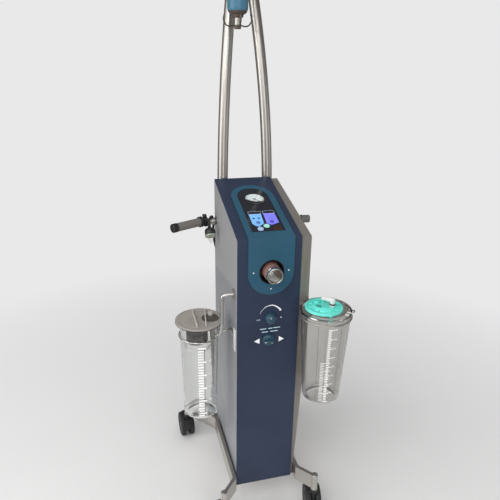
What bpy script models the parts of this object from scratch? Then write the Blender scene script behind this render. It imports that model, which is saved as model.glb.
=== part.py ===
"""Suction pump on a wheeled stand, in metres, +Z up.

Inside the script, X runs right from the middle of the front cover, Y runs back from that
cover's face, and Z runs up from the floor. One parent empty then moves everything, so that
the footprint is centred on the world's origin. Meshes that touch keep a gap of GAP.
"""

from math import asin, atan, atan2, cos, hypot, pi, radians, sin, sqrt

import bmesh
import bpy
from mathutils import Matrix, Vector

# ---------------------------------------------------------------- driving dimensions
SHIFT_X, SHIFT_Y = 0.0152, -0.1765  # puts the footprint's centre on the origin
GAP = 0.0003

BODY_W = 0.200  # navy cover, side to side
BODY_D = 0.349  # front face to back face
BODY_BOTTOM = 0.120
BEND_Z = 1.027  # where the console starts to slope back
BODY_TOP = 1.135  # the console's back edge
COVER_T = 0.005
SHEET_T = 0.0015
STEEL_STEP = 0.0045  # how much lower the steel shell lies than the navy cover

SLOPE = atan((BODY_TOP - BEND_Z) / BODY_D)
HALF_W = BODY_W / 2

FASCIA_X = 0.004
FASCIA_HALF = 0.072
FASCIA_T = 0.004
FASCIA_LOW_S = -0.108  # centre of the round lower end, along the cover from the bend
FASCIA_HIGH_S = 0.2326  # centre of the arch on the console
WINDOW_HALF = 0.052
WINDOW_LOW_S = 0.031
GLASS_SINK = 0.0015

GAUGE_X, GAUGE_S, GAUGE_R = 0.006, 0.2170, 0.0315
NEEDLE_REST = radians(-135)  # turned this far from pointing up the console
BUTTON_R, BUTTON_TRAVEL = 0.0095, 0.0015
MODE_BUTTON = (0.004, 0.0600)  # across and along the console
POWER_BUTTON = (-0.0185, 0.0465)
DISPLAY_T = 0.001

PORT_X, PORT_Z, PORT_R = 0.0056, BEND_Z - 0.106, 0.039
PORT_DEPTH = 0.045
PORT_REACH = 0.040
VALVE_R = 0.0250
REGULATOR = (0.007, BEND_Z - 0.262)
SELECTOR = (0.0015, BEND_Z - 0.3365)
KNOB_R = 0.020

RAIL_IN = {-1: 0.1055, 1: 0.1085}  # inner faces, left and right
RAIL_T, RAIL_H = 0.012, 0.055
RAIL_FRONT_BEND, RAIL_REAR_BEND = -0.020, 0.305
FRONT_CASTER = (0.160, -0.076)
REAR_CASTER = (0.213, 0.430)
SOCKET_R, STEM_R, STEM_BORE = 0.011, 0.0055, 0.0058
WHEEL_R, WHEEL_W, WHEEL_GAP, TRAIL = 0.050, 0.019, 0.016, 0.026
AXLE_R = 0.004

POST_X, POST_Y, POST_R = 0.0145, 0.371, 0.018
POST_HALF = 0.0815  # half the spacing of the posts where they are upright
POST_ARC = 5.4  # radius with which they lean together
POST_BACK = 0.13  # backward curve, metres per square metre of height
POST_TOP = 1.845
HANGER = (-0.023, 0.335)
POD_R, POD_BOTTOM, POD_TOP = 0.0325, 1.650, 1.775
HOOK_REACH = 0.045
HOOK_Z = 1.621

LEFT_JAR = (-0.206, 0.080, 0.739)  # centre and height of the rim
RIGHT_JAR = (0.158, -0.074, 0.817)
JAR_WALL = 0.003
LEFT_JAR_H, LEFT_JAR_R = 0.337, (0.0545, 0.0615)  # foot and top radius
RIGHT_JAR_H, RIGHT_JAR_R = 0.305, (0.0590, 0.0763)
LEFT_LID_R, RIGHT_LID_R = 0.075, 0.064
RIGHT_MOUTH_R = 0.0585
LEFT_RING_DROP, RIGHT_RING_DROP = 0.045, 0.020  # how far below its rim a ring holds each jar
WIRE_R = 0.0025

BAR_R = 0.011
BAR_ENDS = (-0.1467, 0.3250, 0.9920), (0.2110, 0.3150, 0.9820)  # it leans a little to the right
GRIP_R = 0.0145
GRIP_TURN = atan2(0.066, 0.121)  # how far the left grip points forward

CORD_R = 0.00425
COIL_CENTRE = (POST_X, 0.640)
COIL_R, COIL_PITCH = 0.0425, 0.009
COIL_LAYERS, LAYER_TURNS = 4, 2
COIL_FIRST_Y = 0.3570
LOOP_POINTS = 24
GLAND = (0.0345, 0.366, 0.400)  # the end of the strain relief, facing down
ARCH_X, ARCH_STEP = -0.1185, 0.0140  # where the cord crosses the bar, and its lean to the right
ARCH_BEND = 0.0300
PLUG_R, PLUG_L, PLUG_NECK = 0.019, 0.031, 0.014
PLUG_TILT = radians(35)  # the stiff cord holds the hanging plug forward by this much

# ---------------------------------------------------------------- scene and helpers
for leftover in list(bpy.data.objects):
    bpy.data.objects.remove(leftover)

parts = bpy.data.collections.new("suction_pump")
helpers = bpy.data.collections.new("cutters")
for group in (parts, helpers):
    bpy.context.scene.collection.children.link(group)

root = bpy.data.objects.new("stand_origin", None)
root.location = (SHIFT_X, SHIFT_Y, 0)
parts.objects.link(root)

FLAT = (0, 0, 0)
UPRIGHT = (radians(90), 0, 0)  # an outline's Y becomes Z, its thickness runs along Y
SIDEWAYS = (radians(90), 0, radians(90))  # an outline's X becomes Y, its Y becomes Z
ON_SLOPE = (SLOPE, 0, 0)


def material(name, colour, roughness, metallic=0.0, alpha=1.0):
    made = bpy.data.materials.new(name)
    made.use_nodes = True
    made.diffuse_color = (*colour, alpha)
    shader = made.node_tree.nodes["Principled BSDF"]
    shader.inputs["Base Color"].default_value = (*colour, 1)
    shader.inputs["Roughness"].default_value = roughness
    shader.inputs["Metallic"].default_value = metallic
    shader.inputs["Alpha"].default_value = alpha
    return made


NAVY = material("navy_paint", (0.035, 0.045, 0.090), 0.40)
TEAL = material("teal_plastic", (0.035, 0.115, 0.185), 0.35)
PANEL = material("grey_panel", (0.30, 0.30, 0.31), 0.45, 0.6)
STEEL = material("brushed_steel", (0.36, 0.34, 0.31), 0.35, 1.0)
CHROME = material("polished_steel", (0.62, 0.60, 0.57), 0.15, 1.0)
BLACK = material("black_plastic", (0.012, 0.012, 0.013), 0.45)
RUBBER = material("dark_rubber", (0.020, 0.020, 0.021), 0.70)
GLASS = material("console_glass", (0.012, 0.018, 0.028), 0.08)
CLEAR = material("clear_jar", (0.85, 0.87, 0.86), 0.06, 0.0, 0.30)
SMOKE = material("smoky_lid", (0.45, 0.43, 0.40), 0.15, 0.0, 0.60)
TURQUOISE = material("turquoise_lid", (0.13, 0.80, 0.68), 0.35)
WHITE = material("white_plastic", (0.80, 0.80, 0.78), 0.40)
COPPER = material("copper_valve", (0.28, 0.10, 0.07), 0.22, 0.9)
GREY = material("grey_grip", (0.16, 0.155, 0.15), 0.55)
LIGHT_BLUE = material("blue_display", (0.22, 0.52, 0.95), 0.10)
VIOLET = material("violet_display", (0.24, 0.24, 0.95), 0.10)
MINT = material("mint_button", (0.45, 0.90, 0.80), 0.30)
ALLOY = material("cast_alloy", (0.42, 0.43, 0.44), 0.50, 0.9)
BOARD = material("circuit_board", (0.02, 0.16, 0.06), 0.50)


def place(obj, mat, location=(0, 0, 0), rotation=FLAT, helper=False):
    """Links the object, hangs it on the parent empty and gives it its material."""
    obj.location = location
    obj.rotation_euler = rotation
    obj.parent = root
    (helpers if helper else parts).objects.link(obj)
    if helper:
        obj.hide_render = True
        obj.display_type = "WIRE"
    elif obj.data:
        obj.data.materials.append(mat)
    return obj


def mesh_object(name, bm, mat, location=(0, 0, 0), rotation=FLAT, helper=False):
    bmesh.ops.recalc_face_normals(bm, faces=bm.faces)
    mesh = bpy.data.meshes.new(name)
    bm.to_mesh(mesh)
    bm.free()
    return place(bpy.data.objects.new(name, mesh), mat, location, rotation, helper)


def box(name, low, high, mat=None, bevel=0.0, rotation=FLAT, helper=False):
    """A box between two corners; a rotation turns it about its own centre."""
    low, high = Vector(low), Vector(high)
    bm = bmesh.new()
    bmesh.ops.create_cube(bm, size=1)
    bmesh.ops.scale(bm, vec=high - low, verts=bm.verts)
    obj = mesh_object(name, bm, mat, (low + high) / 2, rotation, helper)
    if bevel:
        soften(obj, bevel)
    return obj


def rod(name, start, end, radius, mat=None, sides=24, tip=None, helper=False):
    """A round bar between two points, or a cone where tip gives its end's radius."""
    start, end = Vector(start), Vector(end)
    run = end - start
    bm = bmesh.new()
    bmesh.ops.create_cone(
        bm,
        cap_ends=True,
        segments=sides,
        radius1=radius,
        radius2=radius if tip is None else tip,
        depth=run.length,
    )
    turn = run.to_track_quat("Z", "Y").to_euler()
    obj = mesh_object(name, bm, mat, (start + end) / 2, turn, helper)
    if not helper:
        smooth(obj)
    return obj


def turned(name, profile, mat, location, rotation=FLAT, steps=32, closed=False, helper=False):
    """A profile of (radius, height), from its top down its outer side, spun about Z.

    Where it is hollow, closed joins the profile's last point to its first."""
    mesh = bpy.data.meshes.new(name)
    count = len(profile)
    edges = [(i, i + 1) for i in range(count - 1)]
    if closed:
        edges.append((count - 1, 0))
    mesh.from_pydata([(radius, 0, height) for radius, height in profile], edges, [])
    obj = place(bpy.data.objects.new(name, mesh), mat, location, rotation, helper)
    screw = obj.modifiers.new("spin", "SCREW")
    screw.steps = screw.render_steps = steps
    screw.use_merge_vertices = True
    screw.merge_threshold = 0.00005
    screw.use_smooth_shade = False
    return obj


def as_mesh(obj):
    """The curve made a mesh with its caps welded, so that a Boolean can use it."""
    bpy.context.view_layer.update()
    graph = bpy.context.evaluated_depsgraph_get()
    mesh = bpy.data.meshes.new_from_object(obj.evaluated_get(graph))
    bm = bmesh.new()
    bm.from_mesh(mesh)
    bmesh.ops.remove_doubles(bm, verts=bm.verts, dist=0.00001)
    bmesh.ops.recalc_face_normals(bm, faces=bm.faces)
    bm.to_mesh(mesh)
    bm.free()
    name, helper = obj.name, obj.hide_render
    mat = obj.data.materials[0] if obj.data.materials else None
    location, rotation = obj.location.copy(), obj.rotation_euler.copy()
    bpy.data.objects.remove(obj)
    mesh.materials.clear()
    return place(bpy.data.objects.new(name, mesh), mat, location, rotation, helper)


def plate(name, outline, thickness, mat, location, rotation, helper=False):
    """A flat outline with its thickness centred on its plane, as a closed mesh."""
    curve = bpy.data.curves.new(name, "CURVE")
    curve.dimensions = "2D"
    curve.fill_mode = "BOTH"
    curve.extrude = thickness / 2
    spline = curve.splines.new("POLY")
    spline.points.add(len(outline) - 1)
    spline.use_cyclic_u = True
    for point, (x, y) in zip(spline.points, outline):
        point.co = (x, y, 0, 1)
    return as_mesh(place(bpy.data.objects.new(name, curve), mat, location, rotation, helper))


def tube(name, points, radius, mat, resolution=2, helper=False):
    """A round tube along the points, each run a straight one."""
    curve = bpy.data.curves.new(name, "CURVE")
    curve.dimensions = "3D"
    curve.bevel_depth = radius
    curve.bevel_resolution = resolution
    curve.use_fill_caps = True
    spline = curve.splines.new("POLY")
    spline.points.add(len(points) - 1)
    for point, co in zip(spline.points, points):
        point.co = (*co, 1)
    return place(bpy.data.objects.new(name, curve), mat, helper=helper)


def soften(obj, width, segments=1):
    bevel = obj.modifiers.new("soft_edges", "BEVEL")
    bevel.width = width
    bevel.segments = segments
    bevel.limit_method = "ANGLE"
    bevel.angle_limit = radians(40)
    return obj


def smooth(obj):
    obj.data.shade_smooth()
    obj.data.set_sharp_from_angle(angle=radians(35))


def combine(obj, other, operation):
    """Adds a Boolean with a helper object to the part."""
    step = obj.modifiers.new(operation.lower() + "_" + other.name, "BOOLEAN")
    step.operation = operation
    step.object = other
    return obj


def cut(obj, *others):
    for other in others:
        combine(obj, other, "DIFFERENCE")
    return obj


def join(obj, *others):
    for other in others:
        combine(obj, other, "UNION")
    return obj


def arc(cx, cy, radius, start, end, count):
    """Points on an arc, its angles in degrees."""
    steps = [radians(start + (end - start) * i / (count - 1)) for i in range(count)]
    return [(cx + radius * cos(a), cy + radius * sin(a)) for a in steps]


def on_slope(x, s, lift=0.0):
    """A point of the console: across, along it from the bend, and out from its face."""
    return Vector((x, s * cos(SLOPE) - lift * sin(SLOPE), BEND_Z + s * sin(SLOPE) + lift * cos(SLOPE)))


def smooth_path(points, step):
    """Points about a step apart on a smooth curve through the given points."""
    path = [Vector(p) for p in points]
    path = [2 * path[0] - path[1]] + path + [2 * path[-1] - path[-2]]
    found = []
    for a, b, c, d in zip(path, path[1:], path[2:], path[3:]):
        count = max(1, round((c - b).length / step))
        for i in range(count):
            t = i / count
            bend = (2 * a - 5 * b + 4 * c - d) * t**2 + (3 * b - a - 3 * c + d) * t**3
            found.append(0.5 * (2 * b + (c - a) * t + bend))
    return found + [path[-2]]


def length_of(points):
    return sum((Vector(b) - Vector(a)).length for a, b in zip(points, points[1:]))


# ---------------------------------------------------------------- stand
def offset_bar(path, half):
    """The outline of a bar bent along a path, with mitred corners."""
    sides = ([], [])
    for i, here in enumerate(path):
        before = Vector(path[max(i - 1, 0)])
        after = Vector(path[min(i + 1, len(path) - 1)])
        here = Vector(here)
        runs = [run.normalized() for run in (here - before, after - here) if run.length > 0]
        middle = sum(runs, Vector((0, 0))).normalized()
        across = Vector((-middle.y, middle.x)) * half / middle.dot(runs[0])
        sides[0].append(here + across)
        sides[1].append(here - across)
    return [tuple(p) for p in sides[0] + sides[1][::-1]]


def rail(name, side):
    centre = RAIL_IN[side] + RAIL_T / 2
    path = [
        (side * FRONT_CASTER[0], FRONT_CASTER[1]),
        (side * centre, RAIL_FRONT_BEND),
        (side * centre, RAIL_REAR_BEND),
        (side * REAR_CASTER[0], REAR_CASTER[1]),
    ]
    middle = BODY_BOTTOM + RAIL_H / 2
    bar = plate(name, offset_bar(path, RAIL_T / 2), RAIL_H, STEEL, (0, 0, middle), FLAT)
    for end, (x, y) in (("front", FRONT_CASTER), ("rear", REAR_CASTER)):
        foot = (side * x, y, BODY_BOTTOM - 0.002)
        top = (side * x, y, BODY_BOTTOM + RAIL_H + 0.003)
        join(bar, rod(f"{name}_{end}_socket", foot, top, SOCKET_R, sides=20, helper=True))
    for end, (x, y) in (("front", FRONT_CASTER), ("rear", REAR_CASTER)):
        foot = (side * x, y, BODY_BOTTOM - 0.010)
        top = (side * x, y, BODY_BOTTOM + 0.036)
        cut(bar, rod(f"{name}_{end}_bore", foot, top, STEM_BORE, sides=16, helper=True))
    return bar


def base_plate():
    low = (-RAIL_IN[-1] + GAP, 0.0060, BODY_BOTTOM + 0.0015)
    high = (RAIL_IN[1] - GAP, 0.3950, BODY_BOTTOM + 0.0055)
    return box("base_plate", low, high, STEEL)


def caster(name, x, y, heading):
    """A twin-wheel caster; heading is the direction in which its wheels trail, in degrees."""
    swivel = Vector((x, y, 0))
    trail = Vector((cos(radians(heading)), sin(radians(heading)), 0))
    across = Vector((-trail.y, trail.x, 0))
    hub = swivel + trail * TRAIL + Vector((0, 0, WHEEL_R))
    web = WHEEL_GAP / 2 - GAP
    shell = rod(f"{name}_fork", hub - across * web, hub + across * web, 0.034, BLACK, 24)
    neck_low, neck_high = swivel + Vector((0, 0, 0.050)), swivel + Vector((0, 0, BODY_BOTTOM - 0.0035))
    stem = swivel + Vector((0, 0, BODY_BOTTOM + 0.034))
    join(
        shell,
        rod(f"{name}_neck", neck_low, neck_high, 0.0075, sides=16, helper=True),
        rod(f"{name}_collar", neck_high - Vector((0, 0, 0.010)), neck_high, 0.013, sides=16, helper=True),
        rod(f"{name}_stem", neck_low, stem, STEM_R, sides=16, helper=True),
    )
    bore = AXLE_R + 2 * GAP
    ends = hub - across * 0.02, hub + across * 0.02
    cut(shell, rod(f"{name}_axle_bore", *ends, bore, sides=16, helper=True))
    edge = WHEEL_GAP / 2 + WHEEL_W
    wheels = rod(f"{name}_wheels", hub - across * edge, hub + across * edge, AXLE_R, RUBBER, 16)
    for mark, side in (("a", -1), ("b", 1)):
        inner = hub + across * side * WHEEL_GAP / 2
        outer = hub + across * side * edge
        tread = rod(f"{name}_wheel_{mark}", inner, outer, WHEEL_R, sides=28, helper=True)
        soften(tread, 0.004)
        join(wheels, tread)
    return shell, wheels


def brake(name, x, y, heading):
    """A foot lever that pivots on the fork's front, opposite to the trailing wheels."""
    ahead = Vector((-cos(radians(heading)), -sin(radians(heading)), 0))
    across = Vector((-ahead.y, ahead.x, 0))
    pivot = Vector((x, y, 0.094)) + ahead * 0.0165
    turn = (0, 0, atan2(ahead.y, ahead.x))
    outline = [(-0.0028, 0.003), (-0.0028, -0.003), (0.004, -0.006), (0.040, -0.011)]
    outline += [(0.0415, -0.007), (0.006, 0.003)]
    lever = plate(name, outline, 0.030, RUBBER, pivot, (radians(90), 0, turn[2]))
    return lever, pivot, across


# ---------------------------------------------------------------- body shells
def front_cover():
    bm = bmesh.new()
    top = on_slope(0, BODY_D / cos(SLOPE))
    rows = [(0, BODY_BOTTOM), (0, BEND_Z), (top.y, top.z)]
    left = [bm.verts.new((-HALF_W, y, z)) for y, z in rows]
    right = [bm.verts.new((HALF_W, y, z)) for y, z in rows]
    for i in range(len(rows) - 1):
        bm.faces.new((left[i], right[i], right[i + 1], left[i + 1]))
    cover = mesh_object("front_cover", bm, NAVY)
    wall = cover.modifiers.new("wall", "SOLIDIFY")
    wall.thickness = COVER_T
    wall.offset = -1
    wall.use_even_offset = True
    return cut(cover, *front_cutters("cover"))


def front_cutters(owner):
    """What goes through the cover and the fascia: the console window and the port."""
    window = window_outline(WINDOW_HALF, WINDOW_LOW_S)
    cutter = plate(f"{owner}_window", window, 0.060, None, on_slope(0, 0), ON_SLOPE, helper=True)
    start, end = (PORT_X, -0.03, PORT_Z), (PORT_X, 0.03, PORT_Z)
    port = rod(f"{owner}_port", start, end, PORT_R + GAP, sides=40, helper=True)
    if owner == "fascia":
        return cutter, port
    shafts = [
        rod(f"{owner}_shaft_{i}", (x, -0.02, z), (x, 0.02, z), 0.0055, sides=16, helper=True)
        for i, (x, z) in enumerate((REGULATOR, SELECTOR))
    ]
    return cutter, port, *shafts


def window_outline(half, low):
    arch = arc(FASCIA_X, FASCIA_HIGH_S, half, 0, 180, 17)
    return [(FASCIA_X - half, low), (FASCIA_X + half, low)] + arch


def fascia():
    bm = bmesh.new()
    bend = [bm.verts.new(on_slope(FASCIA_X + side * FASCIA_HALF, 0, GAP)) for side in (1, -1)]
    low = arc(FASCIA_X, BEND_Z + FASCIA_LOW_S, FASCIA_HALF, 180, 360, 25)
    bm.faces.new([*bend, *(bm.verts.new((x, -GAP, z)) for x, z in low)])
    high = arc(FASCIA_X, FASCIA_HIGH_S, FASCIA_HALF, 0, 180, 25)
    bm.faces.new([*bend[::-1], *(bm.verts.new(on_slope(x, s, GAP)) for x, s in high)])
    for corner in bend:
        corner.co.y = -GAP
        corner.co.z = BEND_Z + GAP
    sheet = mesh_object("fascia_plate", bm, TEAL)
    wall = sheet.modifiers.new("wall", "SOLIDIFY")
    wall.thickness = FASCIA_T
    wall.offset = 1
    wall.use_even_offset = True
    return cut(sheet, *front_cutters("fascia"))


def under_slope(y, depth):
    """Height of the line that lies a depth below the console's face."""
    return BEND_Z + y * (BODY_TOP - BEND_Z) / BODY_D - depth / cos(SLOPE)


def left_panel():
    front, back, low = COVER_T + GAP, BODY_D - 0.004, BODY_BOTTOM + 0.0058
    outline = [
        (front, low),
        (back, low),
        (back, under_slope(back, COVER_T + GAP)),
        (front, under_slope(front, COVER_T + GAP)),
    ]
    sheet = plate("left_panel", outline, SHEET_T, PANEL, (-HALF_W + SHEET_T / 2, 0, 0), SIDEWAYS)
    return cut(sheet, bar_cutter("left_panel_hole", -0.12, -0.08))


def on_bar(x):
    """The point of the cross bar's centre line at this distance to the right."""
    left, right = (Vector(end) for end in BAR_ENDS)
    return left.lerp(right, (x - left.x) / (right.x - left.x))


def bar_cutter(name, x0, x1):
    return rod(name, on_bar(x0), on_bar(x1), BAR_R + GAP, sides=24, helper=True)


def shell_x(y, z):
    """How far right the steel shell reaches: bowed in towards the floor, and a little to the back."""
    drop = max(0.0, (0.75 - z) / 0.625)
    return 0.1315 - 0.027 * drop**1.6 - 0.0065 * y / BODY_D


def right_shell():
    """The open skin of the strip, the console's margin and the side, given its wall by Solidify."""
    bm = bmesh.new()
    back, low = BODY_D - 0.004, BODY_BOTTOM + 0.0058
    inner_x = HALF_W + GAP
    bend_y = STEEL_STEP
    bend_z = under_slope(bend_y, STEEL_STEP)
    heights = [low + (bend_z - low) * t for t in (0, 0.09, 0.18, 0.29, 0.42, 0.56, 0.70, 1)]
    rows = [(bend_y, z) for z in heights]
    for t in (0.33, 0.66, 1):
        y = bend_y + (back - bend_y) * t
        rows.append((y, under_slope(y, STEEL_STEP)))
    edge, corner, rear = [], [], []
    for y, z in rows:
        edge.append(bm.verts.new((inner_x, y, z)))
        corner.append(bm.verts.new((shell_x(y, z), y, z)))
        rear.append(corner[-1] if y == rows[-1][0] else bm.verts.new((shell_x(back, z), back, z)))
    for i in range(len(rows) - 1):
        bm.faces.new((edge[i], corner[i], corner[i + 1], edge[i + 1]))
        side = (corner[i], rear[i], rear[i + 1], corner[i + 1])
        bm.faces.new(side[:3] if i == len(rows) - 2 else side)
    skin = mesh_object("right_shell", bm, STEEL)
    wall = skin.modifiers.new("wall", "SOLIDIFY")
    wall.thickness = SHEET_T
    wall.offset = -1
    wall.use_even_offset = True
    return cut(skin, bar_cutter("right_shell_hole", 0.09, 0.16))


def rear_cover():
    low, high = BODY_BOTTOM + 0.0058, under_slope(BODY_D - 0.0035, COVER_T) - 0.001
    panel = box("rear_cover", (-HALF_W, BODY_D - 0.0035, low), (0.1035, BODY_D, high), NAVY)
    for i in range(6):
        z = 0.800 + 0.018 * i
        cut(panel, box(f"vent_{i}", (-0.030, 0.30, z), (0.060, 0.40, z + 0.008), helper=True))
    for i, z in enumerate((0.200, 1.060)):
        for side in (-1, 1):
            x = POST_X + side * POST_HALF
            saddle = (x - 0.012, BODY_D - 0.002, z), (x + 0.012, POST_Y - POST_R - GAP, z + 0.030)
            join(panel, box(f"saddle_{i}_{side}", *saddle, helper=True))
    x, z = COIL_CENTRE
    inner = COIL_R - COIL_PITCH - CORD_R
    peg = z + inner - GAP - 0.011
    join(
        panel,
        rod("coil_peg", (x, BODY_D - 0.002, peg), (x, 0.3925, peg), 0.011, sides=20, helper=True),
        rod("coil_lip", (x, 0.3898, peg), (x, 0.3935, peg), 0.019, sides=20, helper=True),
    )
    x, y, z = GLAND
    low, high = (x - 0.016, BODY_D - 0.002, z + 0.030), (x + 0.016, y + 0.014, z + 0.062)
    return join(panel, box("gland_block", low, high, helper=True))


# ---------------------------------------------------------------- console
def console_glass():
    outline = window_outline(WINDOW_HALF - GAP, WINDOW_LOW_S + GAP)
    lift = FASCIA_T + GAP - GLASS_SINK - 0.0025
    panel = plate("console_glass", outline, 0.005, GLASS, on_slope(0, 0, lift), ON_SLOPE)
    holes = [(GAUGE_X, GAUGE_S, GAUGE_R + 0.0015 + GAP)]
    holes += [(x, s, BUTTON_R + GAP) for x, s in (MODE_BUTTON, POWER_BUTTON)]
    for i, (x, s, radius) in enumerate(holes):
        ends = on_slope(x, s, -0.02), on_slope(x, s, 0.02)
        cut(panel, rod(f"glass_hole_{i}", *ends, radius, sides=32, helper=True))
    return panel


GLASS_TOP = FASCIA_T + GAP - GLASS_SINK


def display(name, outline, mat):
    lift = GLASS_TOP + GAP + DISPLAY_T / 2
    return plate(name, outline, DISPLAY_T, mat, on_slope(0, 0, lift), ON_SLOPE)


def displays():
    top = 0.1410
    left = [(-0.0366, top), (-0.0366, 0.0755), (-0.0300, 0.0650)]
    left += [(-0.0202, 0.0580), (-0.0010, 0.0735), (0.0040, top)]
    right = [(0.0105, top), (0.0085, 0.0735), (0.0215, 0.0640), (0.0470, 0.0745), (0.0470, top)]
    return display("left_display", left, LIGHT_BLUE), display("right_display", right, VIOLET)


def gauge():
    """A round vacuum gauge let into the console: case, dial, needle and lens."""
    rim, inside, floor = GAUGE_R + 0.0015, GAUGE_R, -0.0075
    case = [(inside, 0.0), (rim, 0.0), (rim, -0.026), (0, -0.026), (0, floor), (inside, floor)]
    at = on_slope(GAUGE_X, GAUGE_S, GLASS_TOP + 0.001)
    turned("gauge_case", case, BLACK, at, ON_SLOPE, closed=True)
    dial = on_slope(GAUGE_X, GAUGE_S, GLASS_TOP + 0.001 + floor + GAP)
    out = on_slope(0, 0, 1) - on_slope(0, 0, 0)
    rod("gauge_dial", dial, dial + out * 0.001, GAUGE_R - GAP, WHITE, 32)
    pivot = dial + out * (0.001 + GAP)
    blade = [(-0.0012, -0.007), (0.0012, -0.007), (0.0005, 0.023), (-0.0005, 0.023)]
    turn = Matrix.Rotation(NEEDLE_REST, 2)
    outline = [tuple(turn @ Vector(corner)) for corner in blade]
    arm = plate("gauge_needle", outline, 0.0008, BLACK, pivot + out * 0.0016, ON_SLOPE)
    hub = rod("needle_hub", pivot, pivot + out * 0.0026, 0.0032, sides=12, helper=True)
    join(arm, hub)
    lens = dial + out * 0.0055
    rod("gauge_lens", lens, lens + out * 0.0012, GAUGE_R - GAP, CLEAR, 32)


def button(name, x, s, mat):
    """A round key that stands a little proud of the glass and travels into it."""
    profile = [(0, 0.0028), (BUTTON_R - 0.0010, 0.0024), (BUTTON_R, 0.0014)]
    profile += [(BUTTON_R, -0.0040), (0, -0.0040)]
    return turned(name, profile, mat, on_slope(x, s, GLASS_TOP), ON_SLOPE, steps=24)


# ---------------------------------------------------------------- front port and knobs
def port():
    lip = 0.0025
    cup = [
        (PORT_R - lip, 0.0),
        (PORT_R, 0.0),
        (PORT_R, -PORT_DEPTH),
        (0, -PORT_DEPTH),
        (0, -PORT_DEPTH + lip),
        (PORT_R - lip, -PORT_DEPTH + lip),
    ]
    facing = UPRIGHT  # the profile's height then points out of the front
    mouth = (PORT_X, -FASCIA_T + 0.001, PORT_Z)
    turned("port_liner", cup, BLACK, mouth, facing, steps=40, closed=True)
    floor = mouth[1] + PORT_DEPTH - lip - GAP
    cap_y = -PORT_REACH + 0.018
    body = [
        (0, -cap_y),
        (VALVE_R - 0.004, -cap_y),
        (VALVE_R - 0.001, -cap_y - 0.004),
        (VALVE_R + 0.002, -cap_y - 0.012),
        (VALVE_R + 0.002, -floor + 0.010),
        (VALVE_R + 0.005, -floor + 0.006),
        (VALVE_R + 0.005, -floor),
        (0, -floor),
    ]
    turned("port_valve", body, COPPER, (PORT_X, 0, PORT_Z), facing)
    ring = [
        (VALVE_R - 0.0035, PORT_REACH),
        (VALVE_R, PORT_REACH - 0.001),
        (VALVE_R, -cap_y + GAP),
        (0, -cap_y + GAP),
        (0, PORT_REACH - 0.010),
        (VALVE_R - 0.0035, PORT_REACH - 0.010),
    ]
    dial = turned("port_dial", ring, CHROME, (PORT_X, 0, PORT_Z), facing, closed=True)
    reach, half = VALVE_R - 0.002, 0.002
    low = (PORT_X - half, -PORT_REACH + 0.001, PORT_Z - reach)
    high = (PORT_X + half, -PORT_REACH + 0.012, PORT_Z + reach)
    bar = box("dial_bar", low, high, rotation=(0, radians(-38), 0), helper=True)
    return join(dial, bar)


def knob(name, x, z, valve, grip):
    """A domed knob on a shaft through the cover; the selector has a grip bar across it."""
    skirt, height = KNOB_R, 0.020
    profile = [
        (0, height),
        (skirt * 0.45, height - 0.0012),
        (skirt * 0.80, height - 0.0055),
        (skirt * 0.93, 0.006),
        (skirt, 0.001),
        (skirt, GAP),
        (0.004, GAP),
        (0.004, -0.0135),
        (0, -0.0135),
    ]
    if grip:
        profile[:3] = [(0, 0.012), (skirt * 0.70, 0.0115), (skirt * 0.90, 0.009)]
    made = turned(name, profile, TEAL, (x, -GAP, z), UPRIGHT)
    if grip:
        low, high = (x - 0.0185, -0.020, z - 0.0035), (x + 0.0150, -0.008, z + 0.0035)
        join(made, box(f"{name}_bar", low, high, helper=True))
    body = [(0, -0.014), (0.016, -0.014), (0.016, -0.022), (0.012, -0.026), (0.012, -0.058), (0, -0.058)]
    turned(valve, body, ALLOY, (x, 0, z), UPRIGHT, steps=20)
    return made


# ---------------------------------------------------------------- inside
def inside():
    floor = BODY_BOTTOM + 0.0055 + GAP
    motor_z = floor + 0.078
    motor = rod("pump_motor", (-0.010, 0.235, motor_z), (-0.010, 0.325, motor_z), 0.048, ALLOY, 28)
    join(motor, box("motor_foot", (-0.060, 0.245, floor), (0.040, 0.315, motor_z - 0.030), helper=True))
    pump = box("vacuum_pump", (-0.055, 0.120, floor), (0.035, 0.2345, motor_z + 0.040), ALLOY, 0.004)
    for i, y in enumerate((0.150, 0.205)):
        foot, top = (-0.010, y, motor_z + 0.030), (-0.010, y, motor_z + 0.085)
        join(pump, rod(f"pump_head_{i}", foot, top, 0.024, sides=20, helper=True))
    supply = box("power_supply", (-0.090, 0.200, 0.420), (-0.045, 0.330, 0.600), ALLOY, 0.003)
    join(supply, box("supply_foot", (-0.0981, 0.22, 0.44), (-0.088, 0.31, 0.46), helper=True))
    lift = -COVER_T - 0.028
    board = [(-0.080, 0.030), (0.080, 0.030), (0.080, 0.170), (-0.080, 0.170)]
    plate("control_board", board, 0.0016, BOARD, on_slope(0, 0, lift), ON_SLOPE)


# ---------------------------------------------------------------- canisters
def jar_profile(foot, top, height, mouth):
    wall = JAR_WALL
    return [
        (mouth, 0),
        (top + 0.002, 0),
        (top + 0.002, -0.006),
        (top, -0.007),
        (foot, -height + 0.006),
        (foot - 0.005, -height),
        (0, -height),
        (0, -height + wall),
        (foot - 0.005 - wall, -height + wall),
        (foot - wall, -height + wall + 0.005),
        (top - wall, -0.008),
        (mouth, -0.005),
    ]


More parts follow.
